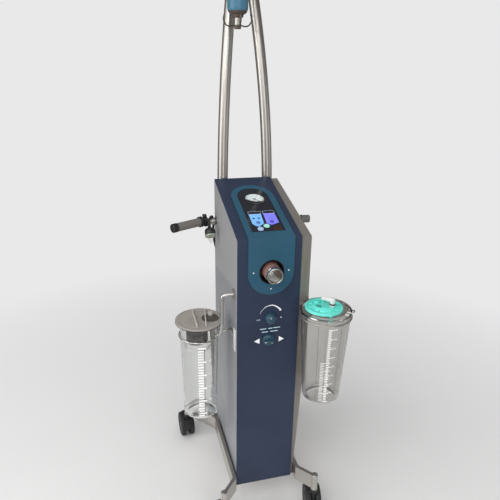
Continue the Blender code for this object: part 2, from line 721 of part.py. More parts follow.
def left_canister():
    x, y, rim = LEFT_JAR
    foot, top = LEFT_JAR_R
    profile = jar_profile(foot, top, LEFT_JAR_H, top - JAR_WALL)
    turned("left_jar", profile, CLEAR, LEFT_JAR, closed=True)
    edge = LEFT_LID_R
    profile = [(0, 0.008), (edge - 0.002, 0.008), (edge, 0.006), (edge, 0.001)]
    profile += [(edge - 0.001, GAP), (0, GAP)]
    lid = turned("left_lid", profile, SMOKE, LEFT_JAR)
    for i, ridge in enumerate((-0.017, 0.019)):
        low, high = (x + ridge - 0.003, y - 0.055, rim + 0.007), (x + ridge + 0.003, y + 0.055, rim + 0.018)
        join(lid, box(f"lid_ridge_{i}", low, high, helper=True))
    cage = [(0, 0), (0.034, 0), (0.034, -0.045), (0.022, -0.048), (0.022, -0.062), (0, -0.064)]
    turned("left_float_cage", cage, ALLOY, (x - 0.010, y - 0.006, rim), steps=28)


def right_canister():
    x, y, rim = RIGHT_JAR
    foot, top = RIGHT_JAR_R
    profile = jar_profile(foot, top, RIGHT_JAR_H, RIGHT_MOUTH_R)
    turned("right_jar", profile, CLEAR, RIGHT_JAR, closed=True)
    edge, plug = RIGHT_LID_R, RIGHT_MOUTH_R - GAP
    profile = [
        (0, 0.013),
        (0.036, 0.013),
        (0.040, 0.006),
        (0.050, 0.006),
        (0.053, 0.011),
        (edge - 0.002, 0.011),
        (edge, 0.009),
        (edge, GAP),
        (plug, GAP),
        (plug, -0.008),
        (0, -0.008),
    ]
    turned("right_lid", profile, TURQUOISE, RIGHT_JAR)
    low = Vector((x + 0.020, y - 0.010, rim + 0.013 + GAP))
    high = low + Vector((0, 0, 0.026))
    elbow = rod("right_elbow", low, high, 0.0085, WHITE, 20)
    bend = low + Vector((0, 0, 0.018))
    join(elbow, rod("elbow_spout", bend, bend + Vector((-0.036, 0.016, 0.003)), 0.0070, sides=20, helper=True))


def ring(name, jar, radii, height, drop):
    """A wire ring close round the jar, its wire of six sides, and the radius of its inner side."""
    foot, top = radii
    inner = foot + (top - foot) * (height - drop) / height + 0.0006
    angles = [radians(90 - 60 * i) for i in range(6)]
    wire = [(inner + WIRE_R + WIRE_R * cos(a), WIRE_R * sin(a)) for a in angles]
    x, y, rim = jar
    return turned(name, wire, CHROME, (x, y, rim - drop), closed=True), inner


def left_bracket():
    x, y, rim = LEFT_JAR
    level = rim - LEFT_RING_DROP
    made, inner = ring("left_bracket", LEFT_JAR, LEFT_JAR_R, LEFT_JAR_H, LEFT_RING_DROP)
    panel = -HALF_W - GAP
    strap = [
        (-0.1015, 0.842),
        (-0.137, 0.842),
        (-0.140, 0.8393),
        (-0.140, level + 0.006),
        (-0.1585, level + 0.0015),
        (-0.1585, level - 0.0015),
        (-0.137, level + 0.002),
        (-0.137, 0.835),
        (-0.134, 0.838),
        (-0.1015, 0.838),
    ]
    arm = (x + inner + 0.002, y - 0.004, level - 0.003), (-0.1015, y + 0.004, level + 0.003)
    flange = (-0.1040, y - 0.008, level - 0.025), (panel, y + 0.008, level + 0.025)
    join(
        made,
        plate("left_strap", strap, 0.018, None, (0, 0.031, 0), UPRIGHT, helper=True),
        box("left_pad", (-0.1035, 0.024, 0.829), (panel, 0.038, 0.851), helper=True),
        box("left_arm", *arm, helper=True),
        box("left_flange", *flange, helper=True),
    )


def right_bracket():
    """The ring stands in front of the shell's corner, on an arm along the shell's side."""
    x, y, rim = RIGHT_JAR
    level = rim - RIGHT_RING_DROP
    made, inner = ring("right_bracket", RIGHT_JAR, RIGHT_JAR_R, RIGHT_JAR_H, RIGHT_RING_DROP)
    wall = shell_x(0, level) + 0.0009
    back = y + sqrt((inner + WIRE_R) ** 2 - (x - wall - 0.004) ** 2)
    side = x + inner + WIRE_R
    loop = [(side, y - 0.008), (side + 0.013, y - 0.008), (side + 0.013, y + 0.008), (side, y + 0.008)]
    arm = (wall + 0.0015, back, level - 0.004), (wall + 0.0065, 0.058, level + 0.004)
    flange = (wall, 0.012, level - 0.025), (wall + 0.003, 0.056, level + 0.025)
    join(
        made,
        box("right_arm", *arm, helper=True),
        box("right_flange", *flange, helper=True),
        as_mesh(tube("right_loop", [(px, py, level) for px, py in loop], 0.002, None, 1, helper=True)),
    )


# ---------------------------------------------------------------- side handle
def handle():
    rod("cross_bar", *BAR_ENDS, BAR_R, CHROME, 24)
    y, z = BAR_ENDS[0][1:]
    clamp = box("left_clamp", (-0.1530, y - 0.019, z - 0.019), (-0.1305, y + 0.019, z + 0.019), BLACK, 0.004)
    foot, top = (-0.1415, y - 0.004, z + 0.015), (-0.1415, y - 0.004, z + 0.027)
    join(clamp, rod("clamp_bolt", foot, top, 0.0065, sides=6, helper=True))
    cut(clamp, rod("clamp_bore", on_bar(-0.1470), on_bar(-0.10), BAR_R + GAP, sides=24, helper=True))
    along = Vector((-cos(GRIP_TURN), -sin(GRIP_TURN), 0))
    start = Vector((-0.1570, y - 0.004, z)) + along * 0.004
    grip = rod("left_grip", start, start + along * 0.100, GRIP_R, GREY, 24)
    ends = start + along * 0.095, start + along * 0.112
    join(grip, rod("grip_end", *ends, GRIP_R + 0.0007, sides=24, helper=True))
    lean = (Vector(BAR_ENDS[1]) - Vector(BAR_ENDS[0])).to_track_quat("Z", "Y").to_euler()
    profile = [(0, 0.032), (0.012, 0.032), (0.014, 0.030), (0.014, 0.004)]
    profile += [(0.0155, 0.003), (0.0155, GAP), (0, GAP)]
    turned("right_grip", profile, GREY, BAR_ENDS[1], lean, steps=24)


# ---------------------------------------------------------------- mast
def post_point(side, z):
    s = max(0.0, z - BEND_Z)
    half = POST_HALF - s * s / (2 * POST_ARC)
    return (POST_X + side * half, POST_Y + POST_BACK * s * s, z)


def post(name, side):
    low = BODY_BOTTOM + 0.0055 + GAP
    heights = [low, 0.60, BEND_Z]
    count = 9
    heights += [BEND_Z + (POST_TOP - BEND_Z) * (i + 1) / count for i in range(count)]
    made = tube(name, [post_point(side, z) for z in heights], POST_R, CHROME, 5)
    made.data.use_fill_caps = True
    return made


def crown():
    top = post_point(0, POST_TOP)
    y = top[1]
    base = POST_TOP + 0.0050
    low, high = (POST_X - 0.041, y - 0.021, base), (POST_X + 0.041, y + 0.023, base + 0.026)
    cap = box("post_crown", low, high, TEAL, 0.006)
    hx, hy = HANGER
    arm = [(POST_X - 0.016, y), (POST_X + 0.016, y), (hx + 0.011, hy - 0.010), (hx - 0.011, hy - 0.010)]
    join(
        cap,
        plate("crown_arm", arm, 0.010, None, (0, 0, base + 0.012), FLAT, helper=True),
        rod("crown_drop", (hx, hy, POD_TOP + 0.0006), (hx, hy, base + 0.012), 0.006, sides=16, helper=True),
    )
    return cap


def hanger():
    x, y = HANGER
    height = POD_TOP - POD_BOTTOM
    profile = [(0, height), (0.014, height), (0.026, height - 0.006), (POD_R, height - 0.016)]
    profile += [(POD_R, 0.020), (POD_R * 0.94, 0.010), (POD_R * 0.72, 0.002)]
    profile += [(0.018, 0), (0.018, -0.008), (0, -0.008)]
    turned("scale_housing", profile, TEAL, (x, y, POD_BOTTOM))
    top = POD_BOTTOM - 0.008 - GAP
    hooks = rod("bag_hooks", (x, y, HOOK_Z - 0.012), (x, y, top), 0.011, CHROME, 20)
    for i in range(4):
        a = radians(90 * i)
        run = [(0.006, 0.0), (0.022, -0.004), (0.034, -0.002), (HOOK_REACH - 0.003, 0.006)]
        run += [(HOOK_REACH, 0.018), (HOOK_REACH - 0.003, 0.030)]
        points = [(x + r * cos(a), y + r * sin(a), HOOK_Z + rise) for r, rise in run]
        join(hooks, as_mesh(tube(f"hook_{i}", points, 0.0018, None, 1, helper=True)))
    return hooks


# ---------------------------------------------------------------- mains cord
def coil_points():
    """Turns laid side by side and on each other, spiralling in and out, seen from the back."""
    x, z = COIL_CENTRE
    turns = COIL_LAYERS * LAYER_TURNS
    inner = COIL_R - COIL_PITCH * LAYER_TURNS / 2
    found = []
    for i in range(turns * LOOP_POINTS + 1):
        t = i / LOOP_POINTS
        layer, part = divmod(t, LAYER_TURNS)
        inward = part if int(layer) % 2 else LAYER_TURNS - part
        climbed = 0.0
        for step in range(1, COIL_LAYERS):
            climbed += min(1.0, max(0.0, (t - step * LAYER_TURNS + 0.25) / 0.5))
        radius = inner + COIL_PITCH * inward
        angle = pi - 2 * pi * t
        found.append((x + radius * cos(angle), COIL_FIRST_Y + COIL_PITCH * climbed, z + radius * sin(angle)))
    return found


def upright_ends(points, run):
    """The same points with a stretch straight down from the first and straight up from the last."""
    (x0, y0, z0), (x1, y1, z1) = points[0], points[-1]
    return [(x0, y0, z0 - run), *points, (x1, y1, z1 + run)]


def least_gap(points, radius, apart):
    """The smallest gap between two stretches of one tube that are at least so far apart along it."""
    route = [Vector(p) for p in points]
    walked = [0.0]
    for a, b in zip(route, route[1:]):
        walked.append(walked[-1] + (b - a).length)
    pairs = (
        (a - b).length
        for i, a in enumerate(route)
        for j, b in enumerate(route[:i])
        if walked[i] - walked[j] > apart
    )
    return min(pairs) - 2 * radius


def on_arch(angle):
    """A point of the cord's half circle over the bar, at this angle up from the back."""
    middle = on_bar(ARCH_X)
    crest = middle.z + BAR_R + CORD_R + 0.0008
    run = Vector((ARCH_STEP * cos(angle), ARCH_BEND * cos(angle), ARCH_BEND * (sin(angle) - 1)))
    return Vector((middle.x, middle.y, crest)) + run


def on_plug(x, y, z):
    """A point given from the middle of the plug's face, with Z along the plug towards its cord."""
    down = Vector((0, -sin(PLUG_TILT), -cos(PLUG_TILT)))
    face = on_arch(pi - PLUG_TILT) + down * (0.006 + PLUG_NECK + PLUG_L)
    return face + Matrix.Rotation(-PLUG_TILT, 3, "X") @ Vector((x, y, z))


def cord():
    coil = upright_ends(coil_points(), 2 * CORD_R)
    tube("cord_coil", coil, CORD_R, RUBBER, 1)
    start, end = Vector(coil[0]), Vector(coil[-1])
    gx, gy, gz = GLAND
    low = 0.235
    bow = (gx - start.x) / 2
    lower = [
        (gx, gy, gz - GAP),
        (gx, gy, gz - 0.040),
        (gx, gy - 0.001, low + bow * 1.10),
        (gx - bow * 0.29, gy - 0.003, low + bow * 0.30),
        (gx - bow, gy - 0.005, low),
        (gx - bow * 1.71, gy - 0.007, low + bow * 0.30),
        (start.x, start.y + 0.001, low + bow * 1.10),
        (start.x, start.y, low + 0.140),
        (start.x, start.y, start.z - 0.060),
        (start.x, start.y, start.z - GAP),
    ]
    lower_run = smooth_path(lower, 0.018)
    tube("cord_to_gland", lower_run, CORD_R, RUBBER, 2)
    arch = [on_arch((pi - PLUG_TILT) * i / 5) for i in range(6)]
    upper = [
        (end.x, end.y, end.z + GAP),
        (end.x - 0.0005, end.y + 0.002, end.z + 0.050),
        (end.x - 0.005, end.y + 0.012, end.z + 0.105),
        (-0.0620, 0.4020, 0.800),
        (-0.0850, 0.4000, 0.860),
        (-0.0990, 0.3800, 0.915),
    ]
    upper += [*arch, on_plug(0, 0, PLUG_L + PLUG_NECK + GAP)]
    upper_run = smooth_path(upper, 0.018)
    tube("cord_to_plug", upper_run, CORD_R, RUBBER, 2)
    total = length_of(coil) + length_of(lower_run) + length_of(upper_run)
    print(f"mains cord: {total:.3f} m, coil's least gap {1000 * least_gap(coil, CORD_R, 0.05):.2f} mm")


def gland_and_plug():
    gx, gy, gz = GLAND
    relief = [(0, 0.0297), (0.0085, 0.0297), (0.0085, 0.024), (0.0062, 0.022), (0.0052, 0), (0, 0)]
    turned("cord_gland", relief, BLACK, (gx, gy, gz), steps=20)
    profile = [
        (0, PLUG_L + PLUG_NECK),
        (0.0052, PLUG_L + PLUG_NECK),
        (0.0068, PLUG_L),
        (PLUG_R - 0.005, PLUG_L - 0.003),
        (PLUG_R - 0.001, PLUG_L - 0.010),
        (PLUG_R - 0.002, 0.015),
        (PLUG_R, 0.012),
        (PLUG_R, 0.003),
        (PLUG_R - 0.002, 0),
        (0, 0),
    ]
    tilt = (-PLUG_TILT, 0, 0)
    plug = turned("power_plug", profile, BLACK, on_plug(0, 0, 0), tilt, steps=24)
    half = Vector((0.0008, 0.0032, 0.009))
    for side in (-1, 1):
        middle = on_plug(side * 0.0064, 0, -0.007)
        join(plug, box(f"blade_{side}", middle - half, middle + half, rotation=tilt, helper=True))
    pin = rod("earth_pin", on_plug(0, 0.0105, -0.019), on_plug(0, 0.0105, 0.002), 0.0024, sides=12, helper=True)
    join(plug, pin)


# ---------------------------------------------------------------- assembly
rail("left_rail", -1)
rail("right_rail", 1)
base_plate()
CASTERS = {
    "front_left": (-FRONT_CASTER[0], FRONT_CASTER[1], 84),
    "front_right": (FRONT_CASTER[0], FRONT_CASTER[1], 78),
    "rear_left": (-REAR_CASTER[0], REAR_CASTER[1], 94),
    "rear_right": (REAR_CASTER[0], REAR_CASTER[1], 88),
}
for corner, (cx, cy, heading) in CASTERS.items():
    caster(corner, cx, cy, heading)
    if corner.startswith("rear"):
        brake(f"{corner}_brake", cx, cy, heading)
front_cover()
left_panel()
right_shell()
rear_cover()
fascia()
console_glass()
displays()
gauge()
button("mode_button", *MODE_BUTTON, MINT)
button("power_button", *POWER_BUTTON, LIGHT_BLUE)
port()
knob("regulator_knob", *REGULATOR, "regulator_valve", False)
knob("selector_knob", *SELECTOR, "selector_valve", True)
inside()
left_canister()
right_canister()
left_bracket()
right_bracket()
handle()
post("left_post", -1)
post("right_post", 1)
crown()
hanger()
cord()
gland_and_plug()
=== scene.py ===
"""The looks of a suction pump on a wheeled stand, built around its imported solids.

Places are given as in the solids' source: X right from the middle of the front cover, Y back
from the cover's face and Z up from the floor, in metres.
"""

from math import atan, atan2, cos, degrees, pi, radians, sin, sqrt

import bmesh
import bpy
from mathutils import Matrix, Vector


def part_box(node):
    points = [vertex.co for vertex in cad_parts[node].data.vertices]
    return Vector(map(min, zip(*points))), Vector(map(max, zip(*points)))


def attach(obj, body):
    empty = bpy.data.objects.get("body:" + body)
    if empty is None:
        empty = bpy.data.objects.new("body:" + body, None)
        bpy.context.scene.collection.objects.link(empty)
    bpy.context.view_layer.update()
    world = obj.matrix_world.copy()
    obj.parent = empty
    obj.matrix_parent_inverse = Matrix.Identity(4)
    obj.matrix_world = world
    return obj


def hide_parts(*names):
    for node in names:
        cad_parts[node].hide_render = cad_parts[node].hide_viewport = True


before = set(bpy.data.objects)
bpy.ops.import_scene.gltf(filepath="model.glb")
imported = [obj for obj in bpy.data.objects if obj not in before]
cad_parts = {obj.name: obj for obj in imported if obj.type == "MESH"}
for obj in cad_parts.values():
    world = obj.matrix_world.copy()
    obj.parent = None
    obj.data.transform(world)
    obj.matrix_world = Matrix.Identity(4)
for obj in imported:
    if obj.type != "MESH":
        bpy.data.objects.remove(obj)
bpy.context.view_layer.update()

# ---------------------------------------------------------------- measures
low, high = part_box("front_cover")
MIDDLE = Vector(((low[0] + high[0]) / 2, low[1], 0))

GAP = 0.0003
BODY_D = 0.349
BODY_BOTTOM, BEND_Z, BODY_TOP = 0.120, 1.027, 1.135
SLOPE = atan((BODY_TOP - BEND_Z) / BODY_D)
PLATE_TOP = 0.0043  # how far the teal plate stands out of the cover
GLASS_TOP, DISPLAY_TOP = 0.0028, 0.0041
PANEL_X, SHELL_X = -0.1003, 0.1324  # the outer faces of the left panel and the right shell
INK = 0.0002  # thickness of a printed mark

GAUGE, GAUGE_HALF_SWEEP = (0.006, 0.2170), 135  # across and along the console; degrees
MODE_BUTTON, POWER_BUTTON, BUTTON_R = (0.004, 0.0600), (-0.0185, 0.0465), 0.0095
PORT = (0.0056, BEND_Z - 0.106)
PORT_R, PORT_DEPTH, PORT_REACH, DIAL_R = 0.039, 0.045, 0.040, 0.0250
REGULATOR = (0.007, BEND_Z - 0.262)
SELECTOR = (0.0015, BEND_Z - 0.3365)
KNOB_R = 0.020  # both knobs

LEFT_JAR, RIGHT_JAR = (-0.206, 0.080, 0.739), (0.158, -0.074, 0.817)  # middle of the rim
LEFT_WALL = (0.0545, 0.0615), 0.337  # radii at the foot and the rim, and the height
RIGHT_WALL = (0.0590, 0.0763), 0.305
RIGHT_LID_R, RIGHT_MOUTH_R = 0.064, 0.0585
CAP_R, CAP_LEFT = 0.0575, 0.0085  # the turquoise cap, and how far left of the jar's middle
LEFT_RING_DROP, RIGHT_RING_DROP, WIRE_R = 0.045, 0.020, 0.0025

BAR_R = 0.011
BAR_ENDS = Vector((-0.1467, 0.3250, 0.9920)), Vector((0.2110, 0.3150, 0.9820))
GRIP_R, GRIP_TURN = 0.0145, atan2(0.066, 0.121)  # the left grip, and how far it points forward

POST_X, POST_Y, POST_R, POST_HALF = 0.0145, 0.371, 0.018, 0.0815
POST_ARC, POST_BACK, POST_TOP = 5.4, 0.13, 1.845
HANGER = (-0.023, 0.335)
POD_R, POD_BOTTOM, POD_TOP = 0.0325, 1.650, 1.775
HOOK_REACH, HOOK_Z = 0.045, 1.621

CASTERS = {
    "front_left": (-0.160, -0.076, 84),
    "front_right": (0.160, -0.076, 78),
    "rear_left": (-0.213, 0.430, 94),
    "rear_right": (0.213, 0.430, 88),
}
WHEEL_R, WHEEL_W, WHEEL_GAP, TRAIL = 0.050, 0.019, 0.016, 0.026

CORD_R = 0.00425
COIL_CENTRE, COIL_FIRST_Y, COIL_PITCH = (POST_X, 0.640), 0.3570, 0.009
COIL_INNER_R, COIL_LAYERS, LAYER_TURNS, TURN_STEPS = 0.0335, 4, 2, 24
CORD_LENGTH, CORD_LOWEST = 3.19, 0.235
GLAND = Vector((0.0345, 0.366, 0.400))
ARCH_X, ARCH_STEP, ARCH_BEND = -0.1185, 0.0140, 0.0300
PLUG_L, PLUG_NECK, PLUG_TILT = 0.031, 0.014, radians(35)
TINY = 0.00001  # a ring this small is merged to a point on the axis


# ---------------------------------------------------------------- places
def shift(x, y, z):
    return Matrix.Translation((x, y, z))


def turn(angle, axis):
    """A turn in degrees about an axis of the place."""
    return Matrix.Rotation(radians(angle), 4, axis)


def at(x, y, z):
    return Matrix.Translation(MIDDLE + Vector((x, y, z)))


HERE = at(0, 0, 0)


def on_console(x, s, lift=0.0):
    """Across and along the sloping console, Z out of its face."""
    return at(0, 0, BEND_Z) @ Matrix.Rotation(SLOPE, 4, "X") @ shift(x, s, lift)


def on_front(x, z, lift=0.0):
    """On the front cover, Z out towards the user."""
    return at(x, -lift, z) @ turn(90, "X")


def on_back(x, z, lift=0.0):
    return at(x, BODY_D + lift, z) @ turn(180, "Z") @ turn(90, "X")


def on_side(jar, radius, drop, angle):
    """On a jar's wall: X round it, Y up, Z out of the wall."""
    x, y, rim = jar
    a = radians(angle)
    spot = at(x + radius * cos(a), y + radius * sin(a), rim - drop)
    return spot @ Matrix.Rotation(a + pi / 2, 4, "Z") @ turn(90, "X")


def along(start, end):
    """Z from start to end, with its origin at start."""
    run = Vector(end) - Vector(start)
    return at(*start) @ run.to_track_quat("Z", "Y").to_matrix().to_4x4()


def on_bar(x):
    left, right = BAR_ENDS
    return left.lerp(right, (x - left.x) / (right.x - left.x))


def post_point(side, z):
    rise = max(0.0, z - BEND_Z)
    half = POST_HALF - rise * rise / (2 * POST_ARC)
    return Vector((POST_X + side * half, POST_Y + POST_BACK * rise * rise, z))


# ---------------------------------------------------------------- finishes
FINISHES = {}


def finish(name, colour, roughness, slot=None, **even):
    made = bpy.data.materials.new(name + "_finish")
    made.use_nodes = True
    made.diffuse_color = (*colour, 1)
    shader = made.node_tree.nodes["Principled BSDF"]
    even = {"Base Color": (*colour, 1), "Roughness": roughness, **even}
    for socket, value in even.items():
        shader.inputs[socket.replace("_", " ")].default_value = value
    FINISHES[name] = made
    return made


def add(made, kind, inputs, **settings):
    """A node with its settings, and its inputs as numbers or as another node's output."""
    node = made.node_tree.nodes.new(kind)
    for key, value in settings.items():
        setattr(node, key, value)
    for key, value in inputs.items():
        if isinstance(value, bpy.types.NodeSocket):
            made.node_tree.links.new(value, node.inputs[key])
        else:
            node.inputs[key].default_value = value
    return node


def into(made, socket, value):
    shader = made.node_tree.nodes["Principled BSDF"]
    made.node_tree.links.new(value, shader.inputs[socket])


def grain(made, scale, stretch=(1, 1, 1), detail=3.0):
    """Cloudy grain through the piece, from 0 to 1; stretch lengthens it into streaks."""
    where = add(made, "ShaderNodeTexCoord", {})
    laid = add(made, "ShaderNodeMapping", {"Vector": where.outputs["Object"], "Scale": stretch})
    noise = {"Vector": laid.outputs[0], "Scale": scale, "Detail": detail}
    return add(made, "ShaderNodeTexNoise", noise).outputs["Fac"]


def spots(made, scale):
    where = add(made, "ShaderNodeTexCoord", {})
    cells = {"Vector": where.outputs["Object"], "Scale": scale}
    return add(made, "ShaderNodeTexVoronoi", cells).outputs["Distance"]


def spread(made, value, least, most, start=0.3, end=0.7):
    limits = {"Value": value, "From Min": start, "From Max": end, "To Min": least, "To Max": most}
    return add(made, "ShaderNodeMapRange", limits).outputs["Result"]


def tint(made, value, first, second):
    mix = {0: value, 6: (*first, 1) if len(first) == 3 else first, 7: (*second, 1)}
    return add(made, "ShaderNodeMix", mix, data_type="RGBA").outputs[2]


def blended(made, value, first, second):
    """Two colours that come from nodes, mixed by a value."""
    return add(made, "ShaderNodeMix", {0: value, 6: first, 7: second}, data_type="RGBA").outputs[2]


def relief(made, height, depth, strength=0.5):
    bump = add(made, "ShaderNodeBump", {"Height": height, "Distance": depth, "Strength": strength})
    into(made, "Normal", bump.outputs[0])


def worn(colour, factor):
    return tuple(min(1.0, c * factor) for c in colour)


def painted(name, colour, roughness, depth=0.00006, slot=None, **even):
    """Sprayed or moulded: a little uneven in colour, with a fine skin, handled smooth in places."""
    made = finish(name, colour, roughness, slot=slot, **even)
    cloud = spread(made, grain(made, 7.0), 0.0, 1.0)
    base = tint(made, cloud, worn(colour, 0.90), worn(colour, 1.08))
    dust = spread(made, grain(made, 160.0, detail=5.0), 0.0, 0.25, 0.55, 0.75)
    speck = add(made, "ShaderNodeMix", {0: dust, 6: base, 7: (*worn(colour, 1.25), 1)}, data_type="RGBA")
    into(made, "Base Color", speck.outputs[2])
    into(made, "Roughness", spread(made, grain(made, 22.0, detail=5.0), roughness - 0.06, roughness + 0.08))
    relief(made, grain(made, 900.0, detail=2.0), depth)
    return made


def printed(name, colour, roughness, shine, strength):
    """Pale ink with a faint painted glow of its own, so that thin marks stay white; the ink glows though it
    is no lamp.
    """
    painted_glow = {"Emission_Color": (*shine, 1), "Emission_Strength": strength}
    return painted(name, colour, roughness, slot="white_plastic", **painted_glow)


def metal(name, colour, roughness, streak, slot=None, depth=0.00004, **even):
    """Bright metal with the fine lines of its brushing, and cloudier where it has been touched."""
    made = finish(name, colour, roughness, slot=slot, **{"Metallic": 1.0, **even})
    lines = grain(made, 260.0, streak, detail=4.0)
    base = tint(made, spread(made, lines, 0.0, 1.0), worn(colour, 0.86), worn(colour, 1.10))
    smear = spread(made, grain(made, 9.0, detail=4.0), 0.0, 0.5)
    base = blended(made, smear, base, tint(made, lines, worn(colour, 0.80), worn(colour, 1.0)))
    into(made, "Base Color", base)
    into(made, "Roughness", spread(made, grain(made, 14.0, detail=5.0), roughness - 0.05, roughness + 0.09))
    relief(made, lines, depth)
    return made


def polished(name, colour, roughness, slot=None):
    """Smooth bright metal: its colour hardly changes, and fingers leave it duller in places."""
    made = finish(name, colour, roughness, slot=slot, Metallic=1.0)
    cloud = spread(made, grain(made, 6.0, detail=2.0), 0.0, 1.0)
    into(made, "Base Color", tint(made, cloud, worn(colour, 0.95), worn(colour, 1.04)))
    into(made, "Roughness", spread(made, grain(made, 11.0, detail=3.0), roughness - 0.03, roughness + 0.05))
    return made


def clear(name, colour, roughness, thickness=1.0, slot=None):
    """Clear moulded plastic with fine scuffs and a slow waviness."""
    made = finish(name, colour, roughness, slot=slot, Transmission_Weight=thickness, IOR=1.46)
    scuffs = grain(made, 60.0, detail=6.0)
    into(made, "Roughness", spread(made, scuffs, roughness, roughness + 0.07, 0.5, 0.75))
    cloud = spread(made, grain(made, 12.0), 0.0, 1.0)
    into(made, "Base Color", tint(made, cloud, worn(colour, 0.96), colour))
    relief(made, grain(made, 24.0, (1, 1, 0.3)), 0.0004, 0.35)
    return made


def lit(name, colour, glow, slot=None):
    """A lit display: colour of its own behind a fine grid of cells."""
    made = finish(name, colour, 0.12, slot=slot, Emission_Strength=glow)
    cells = spread(made, spots(made, 1400.0), 0.85, 1.0, 0.0, 0.7)
    cloud = spread(made, grain(made, 30.0), 0.0, 1.0)
    base = tint(made, cloud, worn(colour, 0.88), worn(colour, 1.08))
    dimmed = add(made, "ShaderNodeMix", {0: cells, 6: (*worn(colour, 0.6), 1), 7: base}, data_type="RGBA")
    into(made, "Base Color", dimmed.outputs[2])
    into(made, "Emission Color", dimmed.outputs[2])
    return made


def make_finishes():
    painted("navy_paint", (0.024, 0.037, 0.076), 0.42, Specular_IOR_Level=0.35)
    painted("teal_plastic", (0.021, 0.094, 0.155), 0.36, Specular_IOR_Level=0.4)
    painted("pod_teal", (0.055, 0.170, 0.260), 0.34, slot="teal_plastic")
    painted("dark_teal", (0.024, 0.070, 0.105), 0.34, slot="teal_plastic")
    painted("black_plastic", (0.014, 0.014, 0.015), 0.42, 0.00010)
    painted("dark_rubber", (0.022, 0.022, 0.022), 0.68, 0.00014)
    painted("wheel_hub", (0.045, 0.045, 0.046), 0.48, slot="black_plastic")
    painted("brown_collar", (0.085, 0.060, 0.045), 0.40, slot="teal_plastic")
    painted("white_plastic", (0.78, 0.78, 0.76), 0.38)
    # print_white, scale_white, print_teal and dial_white glow faintly: painted light from marks and a dial
    # face that are no lamps.
    printed("print_white", (0.88, 0.90, 0.92), 0.50, (1, 1, 1), 0.10)
    printed("scale_white", (0.90, 0.90, 0.89), 0.50, (1, 1, 1), 0.12)
    printed("print_teal", (0.60, 0.84, 0.90), 0.50, (0.6, 0.9, 1), 0.10)
    printed("dial_white", (0.86, 0.92, 0.92), 0.40, (0.9, 1, 1), 0.22)
    painted("print_dark", (0.010, 0.012, 0.016), 0.35, slot="black_plastic")
    painted("print_grey", (0.200, 0.280, 0.290), 0.45, slot="black_plastic")
    painted("deep_blue", (0.006, 0.020, 0.110), 0.30, slot="blue_display", Specular_IOR_Level=0.2)
    painted("unlit_brown", (0.045, 0.022, 0.016), 0.14, slot="console_glass")
    painted("turquoise_lid", (0.165, 0.830, 0.720), 0.32, Subsurface_Weight=0.08)
    painted("deep_turquoise", (0.060, 0.400, 0.345), 0.36, slot="turquoise_lid")
    painted("grey_grip", (0.175, 0.165, 0.155), 0.52, 0.00012)
    painted("mint_button", (0.42, 0.88, 0.78), 0.28)
    painted("blue_button", (0.42, 0.60, 0.86), 0.28, slot="blue_button")
    painted("circuit_board", (0.02, 0.16, 0.06), 0.50)
    painted("console_glass", (0.010, 0.014, 0.022), 0.09, 0.000004, Coat_Weight=0.6, Coat_Roughness=0.05)
    metal("brushed_steel", (0.300, 0.275, 0.248), 0.50, (1, 1, 0.02), Metallic=0.5)
    polished("polished_steel", (0.56, 0.535, 0.495), 0.37)
    polished("bright_steel", (0.70, 0.69, 0.66), 0.27, slot="polished_steel")
    metal("dark_steel", (0.12, 0.112, 0.105), 0.24, (1, 1, 0.1), slot="cast_alloy", depth=0.00001)
    metal("dial_steel", (0.36, 0.31, 0.28), 0.30, (1, 1, 0.1), slot="polished_steel", depth=0.00001)
    metal("cast_alloy", (0.42, 0.43, 0.44), 0.46, (1, 1, 1), depth=0.00020)
    metal("rail_steel", (0.60, 0.575, 0.535), 0.38, (0.03, 0.03, 1), slot="brushed_steel")
    metal("copper_valve", (0.44, 0.235, 0.205), 0.30, (1, 0.05, 1), Metallic=0.45)
    clear("clear_plastic", (0.93, 0.94, 0.93), 0.05)
    clear("grey_clear", (0.78, 0.77, 0.75), 0.06, slot="clear_plastic")
    clear("taupe_clear", (0.36, 0.34, 0.315), 0.14, 0.6, slot="clear_plastic")
    clear("lens", (0.97, 0.98, 0.98), 0.02, slot="clear_plastic")
    clear("smoky_lid", (0.50, 0.465, 0.425), 0.14, 0.35)
    clear("pale_lid", (0.74, 0.70, 0.65), 0.12, 0.35, slot="smoky_lid")
    clear("dark_lid", (0.13, 0.12, 0.11), 0.12, 0.35, slot="smoky_lid")
    clear("plug_clear", (0.50, 0.56, 0.46), 0.16, 0.50, slot="clear_plastic")
    lit("blue_display", (0.20, 0.47, 0.90), 0.30)
    lit("violet_display", (0.21, 0.21, 0.90), 0.30)
    side_sheet()


